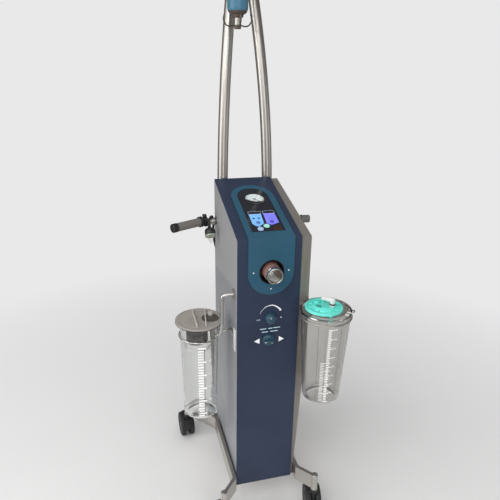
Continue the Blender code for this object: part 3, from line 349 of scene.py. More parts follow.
def side_sheet():
    """The left side's satin sheet, with a soft diagonal crease across it; the sheet is painted lighter above
    the crease line and darker below it, a painted patch of light over painted shade.
    """
    made = finish("grey_panel", (0.40, 0.40, 0.405), 0.44, Metallic=0.25)
    where = add(made, "ShaderNodeTexCoord", {})
    split = add(made, "ShaderNodeSeparateXYZ", {"Vector": where.outputs["Object"]})
    slant = add(made, "ShaderNodeMath", {0: split.outputs["Y"], 1: 0.12}, operation="MULTIPLY")
    fold = add(made, "ShaderNodeMath", {0: split.outputs["Z"], 1: slant.outputs[0]}, operation="ADD")
    # The crease line's mask also splits the colour: painted light above the line, painted shade below it.
    crease_and_shade_line = spread(made, fold.outputs[0], 0.0, 1.0, 0.838, 0.842)
    lines = grain(made, 220.0, (1, 1, 0.03), detail=4.0)
    # Painted light: the lighter grey above the crease line.
    upper = tint(made, spread(made, lines, 0.0, 1.0), (0.39, 0.385, 0.395), (0.425, 0.42, 0.43))
    # Painted shade: the darker grey below the crease line.
    lower = tint(made, spread(made, lines, 0.0, 1.0), (0.32, 0.33, 0.35), (0.35, 0.36, 0.38))
    into(made, "Base Color", blended(made, crease_and_shade_line, lower, upper))
    into(made, "Roughness", spread(made, grain(made, 11.0, detail=5.0), 0.36, 0.50))
    bump = {"Height": crease_and_shade_line, "Distance": 0.002, "Strength": 0.4}
    fine = add(made, "ShaderNodeBump", {"Height": lines, "Distance": 0.00003, "Strength": 0.5})
    bump["Normal"] = fine.outputs[0]
    into(made, "Normal", add(made, "ShaderNodeBump", bump).outputs[0])


# ---------------------------------------------------------------- shaping
def let_go():
    if bpy.context.mode != "OBJECT":
        bpy.ops.object.mode_set(mode="OBJECT")
    bpy.ops.object.select_all(action="DESELECT")


def choose(*pieces):
    let_go()
    for piece in pieces:
        piece.select_set(True)
    bpy.context.view_layer.objects.active = pieces[0]


def edit_all():
    bpy.ops.object.mode_set(mode="EDIT")
    bpy.ops.mesh.select_mode(type="VERT")
    bpy.ops.mesh.select_all(action="SELECT")


def pick(piece, test, kind="FACE"):
    """In edit mode, selects only the faces or edges that pass the test."""
    bpy.ops.mesh.select_mode(type=kind)
    bpy.ops.mesh.select_all(action="DESELECT")
    shape = bmesh.from_edit_mesh(piece.data)
    for part in shape.faces if kind == "FACE" else shape.edges:
        if test(part):
            part.select_set(True)
    bmesh.update_edit_mesh(piece.data)


def close_up():
    """Merges what meets and turns every face outwards; leaves edit mode."""
    bpy.ops.mesh.select_all(action="SELECT")
    bpy.ops.mesh.remove_doubles(threshold=0.00003)
    bpy.ops.mesh.normals_make_consistent(inside=False)
    bpy.ops.object.mode_set(mode="OBJECT")


def settle(piece, place=Matrix(), sharp=32):
    """Writes the place into the mesh and shades it smooth up to this angle."""
    choose(piece)
    piece.matrix_world = place @ piece.matrix_world
    bpy.ops.object.transform_apply(location=True, rotation=True, scale=True)
    bpy.ops.object.shade_smooth_by_angle(angle=radians(sharp))
    return piece


def applied(piece, kind, **settings):
    choose(piece)
    step = piece.modifiers.new(kind.lower(), kind)
    for key, value in settings.items():
        setattr(step, key, value)
    bpy.ops.object.modifier_apply(modifier=step.name)
    return piece


def softened(piece, width, steps=2, angle=30):
    limit = {"limit_method": "ANGLE", "angle_limit": radians(angle)}
    return applied(piece, "BEVEL", width=width, segments=steps, **limit)


def cut(piece, cutter):
    applied(piece, "BOOLEAN", operation="DIFFERENCE", solver="EXACT", object=cutter)
    bpy.data.objects.remove(cutter)
    return piece


def round_piece(rings, place=Matrix(), sides=64, sharp=32):
    """A circle that is extruded and scaled from ring to ring of (radius, height)."""
    let_go()
    (radius, height), *rest = rings
    bpy.ops.mesh.primitive_circle_add(vertices=sides, radius=radius, location=(0, 0, height))
    piece = bpy.context.object
    edit_all()
    for wider, higher in rest:
        bpy.ops.mesh.extrude_region_move(TRANSFORM_OT_translate={"value": (0, 0, higher - height)})
        bpy.ops.transform.resize(value=(wider / radius, wider / radius, 1))
        radius, height = wider, higher
    close_up()
    return settle(piece, place, sharp)


def disc(radius, height, place, sides=32, edge=0.0):
    edge = edge or min(radius, height) * 0.15
    rings = [(TINY, 0), (radius, 0), (radius, height - edge), (radius - edge, height), (TINY, height)]
    return round_piece(rings, place, sides)


def block(low, high, place=Matrix(), edge=0.0, steps=2):
    """A box between two corners of its place, with its edges rounded."""
    let_go()
    low, high = Vector(low), Vector(high)
    bpy.ops.mesh.primitive_cube_add(size=1, location=(low + high) / 2, scale=high - low)
    piece = bpy.context.object
    if edge:
        bpy.ops.object.transform_apply(location=True, rotation=True, scale=True)
        edit_all()
        bpy.ops.mesh.bevel(offset=edge, segments=steps, affect="EDGES")
        bpy.ops.object.mode_set(mode="OBJECT")
    return settle(piece, place, 40)


def flat_shape(outline, thickness, place, edge=0.0):
    """An outline of (x, y) corners, raised by its thickness."""
    let_go()
    bpy.ops.mesh.primitive_circle_add(vertices=len(outline), radius=0.01, fill_type="NGON")
    piece = bpy.context.object
    for corner, (x, y) in zip(piece.data.vertices, outline):
        corner.co = (x, y, 0)
    edit_all()
    bpy.ops.mesh.extrude_region_move(TRANSFORM_OT_translate={"value": (0, 0, thickness)})
    close_up()
    if edge:
        softened(piece, edge)
    return settle(piece, place)


def bent_bar(points, radius, place=HERE, resolution=6, closed=False):
    """A round bar along the points, as a mesh."""
    let_go()
    curve = bpy.data.curves.new("bar", "CURVE")
    curve.dimensions = "3D"
    curve.bevel_depth, curve.bevel_resolution = radius, resolution
    curve.use_fill_caps = not closed
    line = curve.splines.new("POLY")
    line.points.add(len(points) - 1)
    line.use_cyclic_u = closed
    for point, co in zip(line.points, points):
        point.co = (*co, 1)
    piece = bpy.data.objects.new("bar", curve)
    bpy.context.collection.objects.link(piece)
    choose(piece)
    bpy.ops.object.convert(target="MESH")
    edit_all()
    close_up()
    return settle(piece, place, 50)


def ring_bar(radius, thickness, place, sides=72, around=14):
    """A wire ring."""
    let_go()
    bpy.ops.mesh.primitive_torus_add(
        major_radius=radius, minor_radius=thickness, major_segments=sides, minor_segments=around
    )
    return settle(bpy.context.object, place, 60)


def figure(text, height, place, thickness=0.0002):
    """A number as a thin raised mark, centred on its place."""
    let_go()
    bpy.ops.object.text_add()
    piece = bpy.context.object
    piece.data.body, piece.data.size, piece.data.extrude = text, height, thickness / 2
    piece.data.align_x, piece.data.align_y = "CENTER", "CENTER"
    piece.data.resolution_u = 4
    bpy.ops.object.convert(target="MESH")
    piece = bpy.context.object
    edit_all()
    close_up()
    return settle(piece, place @ shift(0, 0, thickness / 2))


def joined(*pieces):
    choose(*pieces)
    if len(pieces) > 1:
        bpy.ops.object.join()
    return bpy.context.object


def repeated(piece, places):
    """One copy at each place, joined; the piece itself is used up."""
    copies = []
    for place in places:
        copy = piece.copy()
        copy.data = piece.data.copy()
        bpy.context.collection.objects.link(copy)
        copy.data.transform(place)
        copies.append(copy)
    bpy.data.objects.remove(piece)
    return joined(*copies)


def smooth_path(points, step):
    """Points about a step apart on a smooth curve through the given points."""
    path = [Vector(p) for p in points]
    path = [2 * path[0] - path[1], *path, 2 * path[-1] - path[-2]]
    found = []
    for a, b, c, d in zip(path, path[1:], path[2:], path[3:]):
        count = max(1, round((c - b).length / step))
        for i in range(count):
            t = i / count
            bend = (2 * a - 5 * b + 4 * c - d) * t**2 + (3 * b - a - 3 * c + d) * t**3
            found.append(0.5 * (2 * b + (c - a) * t + bend))
    return found + [path[-2]]


def keep(piece, name, finish_name, body, *nodes):
    """Names the piece, gives it its finish, and lets it ride on a body of the pump."""
    piece.name = piece.data.name = name
    piece.data.materials.clear()
    piece.data.materials.append(FINISHES[finish_name])
    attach(piece, body)
    if nodes:
        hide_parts(*nodes)
    return piece


def arc(cx, cy, radius, start, end, count):
    steps = [radians(start + (end - start) * i / (count - 1)) for i in range(count)]
    return [(cx + radius * cos(a), cy + radius * sin(a)) for a in steps]


# ---------------------------------------------------------------- camera
def camera():
    """Set from the photograph's own lines, looking down on the pump from its left."""
    made = bpy.data.objects.new("camera", bpy.data.cameras.new("camera"))
    bpy.context.collection.objects.link(made)
    made.data.sensor_width, made.data.lens, made.data.clip_end = 36, 36.073, 60
    heading, downwards, roll = -0.2606265, 0.3512605, 0.0136086
    aim = Matrix.Rotation(heading, 4, "Z") @ Matrix.Rotation(pi / 2 - downwards, 4, "X")
    made.matrix_world = at(-0.41690, -1.32910, 1.49990) @ aim @ Matrix.Rotation(roll, 4, "Z")
    bpy.context.scene.camera = made


# ---------------------------------------------------------------- mains cord
def coil_points():
    """Turns laid side by side and on each other, spiralling in and out."""
    x, z = COIL_CENTRE
    found = []
    for i in range(COIL_LAYERS * LAYER_TURNS * TURN_STEPS + 1):
        t = i / TURN_STEPS
        layer, part = divmod(t, LAYER_TURNS)
        outward = part if int(layer) % 2 else LAYER_TURNS - part
        climbs = [(t - LAYER_TURNS * step + 0.25) / 0.5 for step in range(1, COIL_LAYERS)]
        climbed = sum(min(1.0, max(0.0, climb)) for climb in climbs)
        radius = COIL_INNER_R + COIL_PITCH * outward
        angle = pi - 2 * pi * t
        spot = (x + radius * cos(angle), COIL_FIRST_Y + COIL_PITCH * climbed, z + radius * sin(angle))
        found.append(Vector(spot))
    down = Vector((0, 0, 2 * CORD_R))
    return [found[0] - down, *found, found[-1] + down]


def on_arch(angle):
    """A point of the cord's half circle over the handle's bar, at this angle up from the back."""
    middle = on_bar(ARCH_X)
    crest = middle.z + BAR_R + CORD_R + 0.0008
    run = Vector((ARCH_STEP * cos(angle), ARCH_BEND * cos(angle), ARCH_BEND * (sin(angle) - 1)))
    return Vector((middle.x, middle.y, crest)) + run


def plug_place():
    """The middle of the plug's face, Z along the plug towards its cord."""
    down = Vector((0, -sin(PLUG_TILT), -cos(PLUG_TILT)))
    face = on_arch(pi - PLUG_TILT) + down * (0.006 + PLUG_NECK + PLUG_L)
    return face, at(*face) @ Matrix.Rotation(-PLUG_TILT, 4, "X")


def mains_cord(plug_pieces):
    coil = coil_points()
    start, end = coil[0], coil[-1]
    gx, gy, gz = GLAND
    low, bow = CORD_LOWEST, (GLAND.x - start.x) / 2
    lower = [
        (gx, gy, gz),
        (gx, gy, gz - 0.040),
        (gx, gy - 0.001, low + bow * 1.10),
        (gx - bow * 0.29, gy - 0.003, low + bow * 0.30),
        (gx - bow, gy - 0.005, low),
        (gx - bow * 1.71, gy - 0.007, low + bow * 0.30),
        (start.x, start.y + 0.001, low + bow * 1.10),
        (start.x, start.y, low + 0.140),
        (start.x, start.y, start.z - 0.060),
        (start.x, start.y, start.z - GAP),
    ]
    face, _ = plug_place()
    neck = Matrix.Rotation(-PLUG_TILT, 3, "X") @ Vector((0, 0, PLUG_L + PLUG_NECK - 0.002))
    upper = [
        (end.x, end.y, end.z + GAP),
        (end.x - 0.0005, end.y + 0.002, end.z + 0.050),
        (end.x - 0.005, end.y + 0.012, end.z + 0.105),
        (-0.0620, 0.4020, 0.800),
        (-0.0850, 0.4000, 0.860),
        (-0.0990, 0.3800, 0.915),
        *(on_arch((pi - PLUG_TILT) * i / 5) for i in range(6)),
        face + neck,
    ]
    route = smooth_path(lower, 0.008) + smooth_path(coil, 0.006) + smooth_path(upper, 0.006)
    curve = bpy.data.curves.new("mains_cord", "CURVE")
    curve.dimensions = "3D"
    curve.bevel_depth, curve.bevel_resolution = CORD_R, 5
    curve.use_fill_caps = True
    line = curve.splines.new("POLY")
    line.points.add(len(route) - 1)
    for point, spot in zip(line.points, route):
        point.co = (*(MIDDLE + spot), 1)
    line.use_smooth = True
    cord = bpy.data.objects.new("mains_cord", curve)
    bpy.context.collection.objects.link(cord)
    keep(cord, "mains_cord", "dark_rubber", "stand", "cord_coil", "cord_to_gland", "cord_to_plug")


def coil_tie():
    """A strap round the coil's turns, at its right."""
    x, z = COIL_CENTRE
    low, high = (x + 0.0285, 0.3518, z - 0.007), (x + 0.0565, 0.3890, z + 0.007)
    tie = block(low, high, HERE, 0.0015, 2)
    choose(tie)
    edit_all()
    pick(tie, lambda face: abs(face.normal.z) > 0.5)
    bpy.ops.mesh.delete(type="FACE")
    bpy.ops.object.mode_set(mode="OBJECT")
    applied(tie, "SOLIDIFY", thickness=0.0012, offset=1)
    keep(settle(tie), "coil_tie", "dark_rubber", "stand")


def plug():
    _, place = plug_place()
    shell = [
        (TINY, PLUG_L + PLUG_NECK),
        (0.0050, PLUG_L + PLUG_NECK),
        (0.0054, PLUG_L + PLUG_NECK - 0.001),
    ]
    for i in range(4):
        height = PLUG_L + PLUG_NECK - 0.003 - 0.003 * i
        shell += [(0.0056 + 0.0003 * i, height), (0.0048 + 0.0003 * i, height - 0.0008)]
        shell += [(0.0048 + 0.0003 * i, height - 0.0016), (0.0058 + 0.0003 * i, height - 0.0024)]
    shell += [(0.0070, PLUG_L), (0.0120, PLUG_L - 0.001), (0.0150, PLUG_L - 0.003)]
    shell += [(0.0172, PLUG_L - 0.0065), (0.0180, PLUG_L - 0.010), (0.0182, 0.0095), (0.0176, 0.0085)]
    shell += [(0.0172, 0.0075), (TINY, 0.0075)]
    cover = keep(round_piece(shell, place, 48), "plug_shell", "black_plastic", "stand", "power_plug")
    lens = [(TINY, 0.0073), (0.0176, 0.0073), (0.0188, 0.0064), (0.0190, 0.0030), (0.0184, 0.0008)]
    lens += [(0.0170, -0.0002), (0.0100, -0.0008), (TINY, -0.0010)]
    end = keep(round_piece(lens, place, 48), "plug_face", "plug_clear", "stand")
    blade = block((-0.0008, -0.0032, -0.016), (0.0008, 0.0032, 0.001), edge=0.0004)
    hole = disc(0.0016, 0.006, shift(-0.003, 0, -0.0125) @ turn(90, "Y"), 20)
    cut(blade, hole)
    sides = [place @ shift(x, 0, 0) for x in (-0.0064, 0.0064)]
    blades = keep(repeated(blade, sides), "plug_blades", "bright_steel", "stand")
    pin = [(TINY, 0.002), (0.0024, 0.002), (0.0024, -0.0165), (0.0020, -0.0180), (0.0010, -0.0190)]
    pin = round_piece([*pin, (TINY, -0.0192)], place @ shift(0, 0.0105, 0), 24)
    pin = keep(pin, "plug_earth_pin", "bright_steel", "stand")
    return [cover, end, blades, pin]


def gland():
    rings = [(TINY, 0.0298), (0.0082, 0.0298), (0.0085, 0.0292), (0.0085, 0.0250), (0.0078, 0.0242)]
    for i in range(5):
        height, radius = 0.0225 - 0.0045 * i, 0.0072 - 0.0004 * i
        rings += [(radius, height), (radius, height - 0.0026), (radius - 0.0010, height - 0.0030)]
        rings += [(radius - 0.0010, height - 0.0040)]
    rings += [(0.0052, 0.0), (TINY, 0.0)]
    keep(round_piece(rings, at(*GLAND), 40), "strain_relief", "black_plastic", "stand", "cord_gland")


# ---------------------------------------------------------------- stand
def caster_parts():
    """One caster about its swivel, its wheels trailing towards +X: (fork, wheels, hubs)."""
    hub = shift(TRAIL, 0, WHEEL_R)
    outwards = [hub @ turn(-90 * side, "X") for side in (1, -1)]
    first, last = WHEEL_GAP / 2, WHEEL_GAP / 2 + WHEEL_W
    tread = [(TINY, first), (0.0380, first), (0.0455, first), (0.0485, first + 0.0010)]
    tread += [(0.0500, first + 0.0040), (0.0500, last - 0.0045)]
    tread += [(0.0488, last - 0.0018), (0.0462, last - 0.0004), (0.0430, last)]
    tread += [(0.0395, last - 0.0002), (0.0385, last - 0.0040), (TINY, last - 0.0040)]
    wheels = repeated(round_piece(tread, sides=72), outwards)
    cap = [(TINY, last - 0.0042), (0.0372, last - 0.0042), (0.0376, last - 0.0030)]
    cap += [(0.0360, last - 0.0018), (0.0320, last - 0.0024), (0.0130, last - 0.0026)]
    cap += [(0.0115, last - 0.0006), (0.0080, last - 0.0002)]
    caps = repeated(round_piece([*cap, (TINY, last - 0.0001)], sides=48), outwards)
    spoke = block((0.0105, -0.0022, last - 0.0030), (0.0335, 0.0022, last - 0.0010), edge=0.0006)
    turns = [out @ turn(72 * i, "Z") for out in outwards for i in range(5)]
    hubs = joined(caps, repeated(spoke, turns))
    web = WHEEL_GAP / 2 - 2 * GAP
    rings = [(TINY, -web), (0.0310, -web), (0.0340, -web + 0.0020), (0.0340, web - 0.0020), (0.0310, web)]
    fork = round_piece([*rings, (TINY, web)], hub @ turn(90, "X"), 56)
    spine = arc(0, 0, 0.0535, 55, 128, 14) + arc(0, 0, 0.0300, 128, 55, 6)
    upright = hub @ turn(90, "X")
    spine = flat_shape(spine, 2 * web - 0.001, upright @ shift(0, 0, 0.0005 - web), 0.0008)
    hood = arc(0, 0, 0.0545, 62, 118, 16) + arc(0, 0, 0.0518, 118, 62, 16)
    hood = flat_shape(hood, 0.030, upright @ shift(0, 0, -0.015), 0.0008)
    neck = [(TINY, 0.050), (0.0072, 0.050), (0.0072, 0.0930), (0.0086, 0.0975)]
    neck += [(0.0120, 0.1050), (0.0130, 0.1065), (0.0130, 0.1155)]
    neck += [(0.0122, 0.1164), (0.0055, 0.1165), (0.0055, 0.1530), (TINY, 0.1538)]
    return joined(fork, spine, hood, round_piece(neck, sides=40)), wheels, hubs


def casters():
    fork, wheels, hubs = caster_parts()
    for corner, (x, y, heading) in CASTERS.items():
        place = at(x, y, 0) @ turn(heading, "Z")
        for model, name, body, finish_name, nodes in (
            (fork, "fork_casting", "fork", "black_plastic", ["fork"]),
            (wheels, "tread", "wheels", "dark_rubber", ["wheels"]),
            (hubs, "wheel_hubs", "wheels", "wheel_hub", []),
        ):
            copy = model.copy()
            copy.data = model.data.copy()
            bpy.context.collection.objects.link(copy)
            copy.data.transform(place)
            nodes = [f"{corner}_{node}" for node in nodes]
            keep(copy, f"{corner}_{name}", finish_name, f"{corner}_{body}", *nodes)
        if corner.startswith("rear"):
            brake(corner, x, y, heading)
    for model in (fork, wheels, hubs):
        bpy.data.objects.remove(model)


def brake(corner, x, y, heading):
    """A foot lever ahead of the swivel, with grip ribs on its tread."""
    place = at(x, y, 0.094) @ turn(heading + 180, "Z")
    place = place @ shift(0.0165, 0.0, 0) @ turn(90, "X")
    outline = [(-0.0028, 0.003), (-0.0028, -0.003), (0.004, -0.006), (0.040, -0.011)]
    outline += [(0.0418, -0.0090), (0.0415, -0.007), (0.006, 0.003)]
    lever = flat_shape(outline, 0.030, place @ shift(0, 0, -0.015), 0.0010)
    rib = block((0, -0.0002, -0.0125), (0.0016, 0.0009, 0.0125), edge=0.0003, steps=1)
    slant = degrees(atan2(-0.010, 0.0355))
    ribs = []
    for i in range(5):
        run = 0.016 + 0.005 * i
        spot = Vector((run, 0.003 - (run - 0.006) * 0.010 / 0.0355, 0))
        ribs.append(place @ Matrix.Translation(spot) @ turn(slant, "Z"))
    lever = joined(lever, repeated(rib, ribs))
    keep(lever, f"{corner}_brake_lever", "dark_rubber", f"{corner}_brake", f"{corner}_brake")


def bolt_head(place, name, size=0.0065, finish_name="bright_steel"):
    """A round button head with a six-sided socket."""
    rings = [(TINY, 0), (size, 0), (size, size * 0.22)]
    rings += [(size * 0.86, size * 0.50), (size * 0.55, size * 0.62)]
    head = round_piece([*rings, (TINY, size * 0.64)], place, 28)
    cut(head, disc(size * 0.42, size, place @ shift(0, 0, size * 0.3), 6))
    return keep(settle(head), name, finish_name, "stand")


def rail_fittings():
    top = [(TINY, 0.1772), (0.0109, 0.1772), (0.0109, 0.1786)]
    top += [(0.0098, 0.1800), (0.0060, 0.1810), (TINY, 0.1813)]
    sleeve = [(0.01105, 0.1190), (0.01190, 0.1190), (0.01215, 0.1200), (0.01215, 0.1240), (0.01190, 0.1248)]
    sleeve += [(0.01105, 0.1248), (0.01105, 0.1190)]
    for corner, (x, y, _) in CASTERS.items():
        keep(round_piece(top, at(x, y, 0), 36), f"{corner}_socket_cap", "rail_steel", "stand")
        keep(round_piece(sleeve, at(x, y, 0), 36), f"{corner}_socket_collar", "rail_steel", "stand")


# ---------------------------------------------------------------- housing
KEPT = {
    "front_cover": ("navy_paint", 0.0014),
    "left_panel": ("grey_panel", 0.0004),
    "right_shell": ("brushed_steel", 0.0005),
    "rear_cover": ("navy_paint", 0.0006),
    "left_rail": ("rail_steel", 0.0012),
    "right_rail": ("rail_steel", 0.0012),
    "base_plate": ("brushed_steel", 0.0006),
    "fascia_plate": ("teal_plastic", 0.0018),
    "console_glass": ("console_glass", 0.0005),
    "left_display": ("blue_display", 0.0002),
    "right_display": ("violet_display", 0.0002),
    "pump_motor": ("cast_alloy", 0.0010),
    "vacuum_pump": ("cast_alloy", 0.0010),
    "power_supply": ("cast_alloy", 0.0005),
    "control_board": ("circuit_board", 0.0002),
    "regulator_valve": ("cast_alloy", 0.0004),
    "selector_valve": ("cast_alloy", 0.0004),
}


def kept_solids():
    """Solids whose shape is right keep it, with softened edges and a full finish."""
    for node, (finish_name, edge) in KEPT.items():
        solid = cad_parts[node]
        for mark in solid.material_slots:
            mark.material = FINISHES[finish_name]
        weld = solid.modifiers.new("weld", "WELD")
        weld.merge_threshold = 0.00002
        bevel = solid.modifiers.new("soft_edges", "BEVEL")
        bevel.width, bevel.segments = edge, 2
        bevel.limit_method, bevel.angle_limit = "ANGLE", radians(34)
        bevel.harden_normals = False


def housing_screws():
    place = at(-0.100, 0.144, 0.254) @ turn(-90, "Y")
    bolt_head(place, "side_screw_low", 0.0042)
    spots = [(x, z) for x in (-0.088, 0.088) for z in (0.150, 0.480, 0.760, 1.000)]
    for i, (x, z) in enumerate(spots):
        bolt_head(on_back(x, z), f"rear_screw_{i}", 0.0038, "cast_alloy")


def post_clamps():
    band = [(0.0181, -0.010), (0.0212, -0.010), (0.0218, -0.009), (0.0218, 0.009), (0.0212, 0.010)]
    band += [(0.0181, 0.010), (0.0181, -0.010)]
    for i, z in enumerate((0.215, 1.075)):
        for side, mark in ((-1, "left"), (1, "right")):
            clamp = round_piece(band, at(*post_point(side, z)), 56)
            keep(clamp, f"post_clamp_{mark}_{i}", "black_plastic", "stand")


# ---------------------------------------------------------------- console
def gauge():
    x, s = GAUGE
    case = [(TINY, -0.0260), (0.0320, -0.0260), (0.0330, -0.0250), (0.0330, 0.0029), (0.0336, 0.0030)]
    case += [(0.0338, 0.0034), (0.0335, 0.0041), (0.0328, 0.0044), (0.0320, 0.0042), (0.0315, 0.0036)]
    case += [(0.0314, 0.0030), (0.0314, -0.0037), (TINY, -0.0037)]
    keep(round_piece(case, on_console(x, s), 96), "gauge_rim", "black_plastic", "stand", "gauge_case")
    top = 0.0012
    plate = [(TINY, -0.0036), (0.0311, -0.0036), (0.0312, -0.0034), (0.0312, top - 0.0002), (0.0310, top)]
    face = round_piece([*plate, (TINY, top)], on_console(x, s), 96)
    keep(face, "gauge_face", "dial_white", "stand", "gauge_dial")
    long = block((-0.00035, 0.0215, 0), (0.00035, 0.0265, INK))
    short = block((-0.00018, 0.0240, 0), (0.00018, 0.0265, INK))
    dial = on_console(x, s, top)
    longs = [dial @ turn(27 * i - GAUGE_HALF_SWEEP, "Z") for i in range(11)]
    shorts = [dial @ turn(5.4 * i - GAUGE_HALF_SWEEP, "Z") for i in range(51) if i % 5]
    ticks = joined(repeated(long, longs), repeated(short, shorts))
    for i in range(6):
        a = radians(54 * i - GAUGE_HALF_SWEEP + 90)
        spot = on_console(x + 0.0172 * cos(a), s + 0.0172 * sin(a), top)
        ticks = joined(ticks, figure(str(20 * i), 0.0046, spot))
    keep(ticks, "gauge_scale", "print_grey", "stand")
    band = arc(0, 0, 0.0292, -225, 45, 60) + arc(0, 0, 0.0280, 45, -225, 60)
    keep(flat_shape(band, INK, dial), "gauge_scale_line", "print_grey", "stand")
    rest = on_console(x, s, top + 0.0005) @ turn(-GAUGE_HALF_SWEEP, "Z")
    blade = [(-0.0012, -0.0070), (0.0012, -0.0070), (0.0009, 0.0)]
    blade += [(0.0004, 0.0225), (0, 0.0232), (-0.0004, 0.0225)]
    blade = flat_shape([*blade, (-0.0009, 0.0)], 0.0006, rest, 0.0001)
    hub = [(TINY, -0.0004), (0.0028, -0.0004), (0.0028, 0.0008), (0.0020, 0.0011), (TINY, 0.0012)]
    needle = joined(blade, round_piece(hub, rest, 32))
    keep(needle, "gauge_pointer", "black_plastic", "gauge_needle", "gauge_needle")
    lens = [(TINY, 0.0031), (0.0306, 0.0031), (0.0311, 0.0033)]
    lens += [(0.0311, 0.0036), (0.0300, 0.0040), (0.018, 0.0044)]
    glass = round_piece([*lens, (TINY, 0.0045)], on_console(x, s), 96)
    keep(glass, "gauge_window", "lens", "stand", "gauge_lens")


def press_button(name, x, s, finish_name):
    r = BUTTON_R
    rings = [(TINY, -0.0040), (r - 0.0003, -0.0040), (r, -0.0036), (r, 0.0012), (r - 0.0004, 0.0019)]
    rings += [(r - 0.0014, 0.0024), (r - 0.0024, 0.0023), (r - 0.0040, 0.0024), (TINY, 0.0028)]
    place = on_console(x, s, GLASS_TOP)
    keep(round_piece(rings, place, 64), f"{name}_key", finish_name, name, name)
    rim = [(r + 0.0005, 0), (r + 0.0018, 0), (r + 0.0016, 0.0006), (r + 0.0008, 0.0006), (r + 0.0005, 0)]
    keep(round_piece(rim, place, 64), f"{name}_bezel", "print_dark", "stand")


def display_marks():
    """Dark headers, thin frames and round touch fields on the two lit displays."""
    headers = {
        "left": [(-0.0362, 0.1408), (-0.0362, 0.1255), (0.0028, 0.1255), (0.0036, 0.1408)],
        "right": [(0.0109, 0.1408), (0.0107, 0.1260), (0.0466, 0.1260), (0.0466, 0.1408)],
    }
    for mark, outline in headers.items():
        shade = flat_shape(outline, INK, on_console(0, 0, DISPLAY_TOP))
        keep(shade, f"{mark}_header", "print_dark", "stand")
        (x0, high_s), (_, low_s), (x2, _), (x3, _) = outline
        path = [(x0, low_s, 0), (x0, high_s, 0), (x3, high_s, 0), (x2, low_s, 0)]
        above = on_console(0, 0, DISPLAY_TOP + INK)
        frame_line = bent_bar(path, 0.0003, above, 2, True)
        keep(frame_line, f"{mark}_header_frame", "print_white", "stand")
        bars = [(x0 + 0.004, x0 + 0.016), (x0 + 0.019, x0 + 0.027)]
        made = [block((a, 0.1310, 0), (b, 0.1350, 0.0001), above) for a, b in bars]
        keep(joined(*made), f"{mark}_header_bars", "deep_blue", "stand")
    fields = [(-0.0261, 0.1027, 0.0038), (-0.0100, 0.1021, 0.0038)]
    fields += [(-0.0177, 0.0797, 0.0062), (0.0263, 0.0803, 0.0062)]
    for i, (x, s, r) in enumerate(fields):
        place = on_console(x, s, DISPLAY_TOP)
        ring = [(r, 0), (r, INK), (r * 0.55, INK), (r * 0.55, 0), (r, 0)]
        keep(round_piece(ring, place, 40), f"touch_ring_{i}", "deep_blue", "stand")
        dot = disc(r * (0.40 if r < 0.005 else 0.22), INK, place, 24)
        keep(dot, f"touch_dot_{i}", "deep_blue", "stand")
    patch = [(0.0201, 0.0527), (0.0470, 0.0625), (0.0492, 0.0387), (0.0218, 0.0322)]
    keep(flat_shape(patch, INK, on_console(0, 0, GLASS_TOP)), "unlit_patch", "unlit_brown", "stand")
    sensor = disc(0.0030, INK, on_console(0.0081, 0.0390, GLASS_TOP), 24)
    keep(sensor, "light_sensor", "print_dark", "stand")


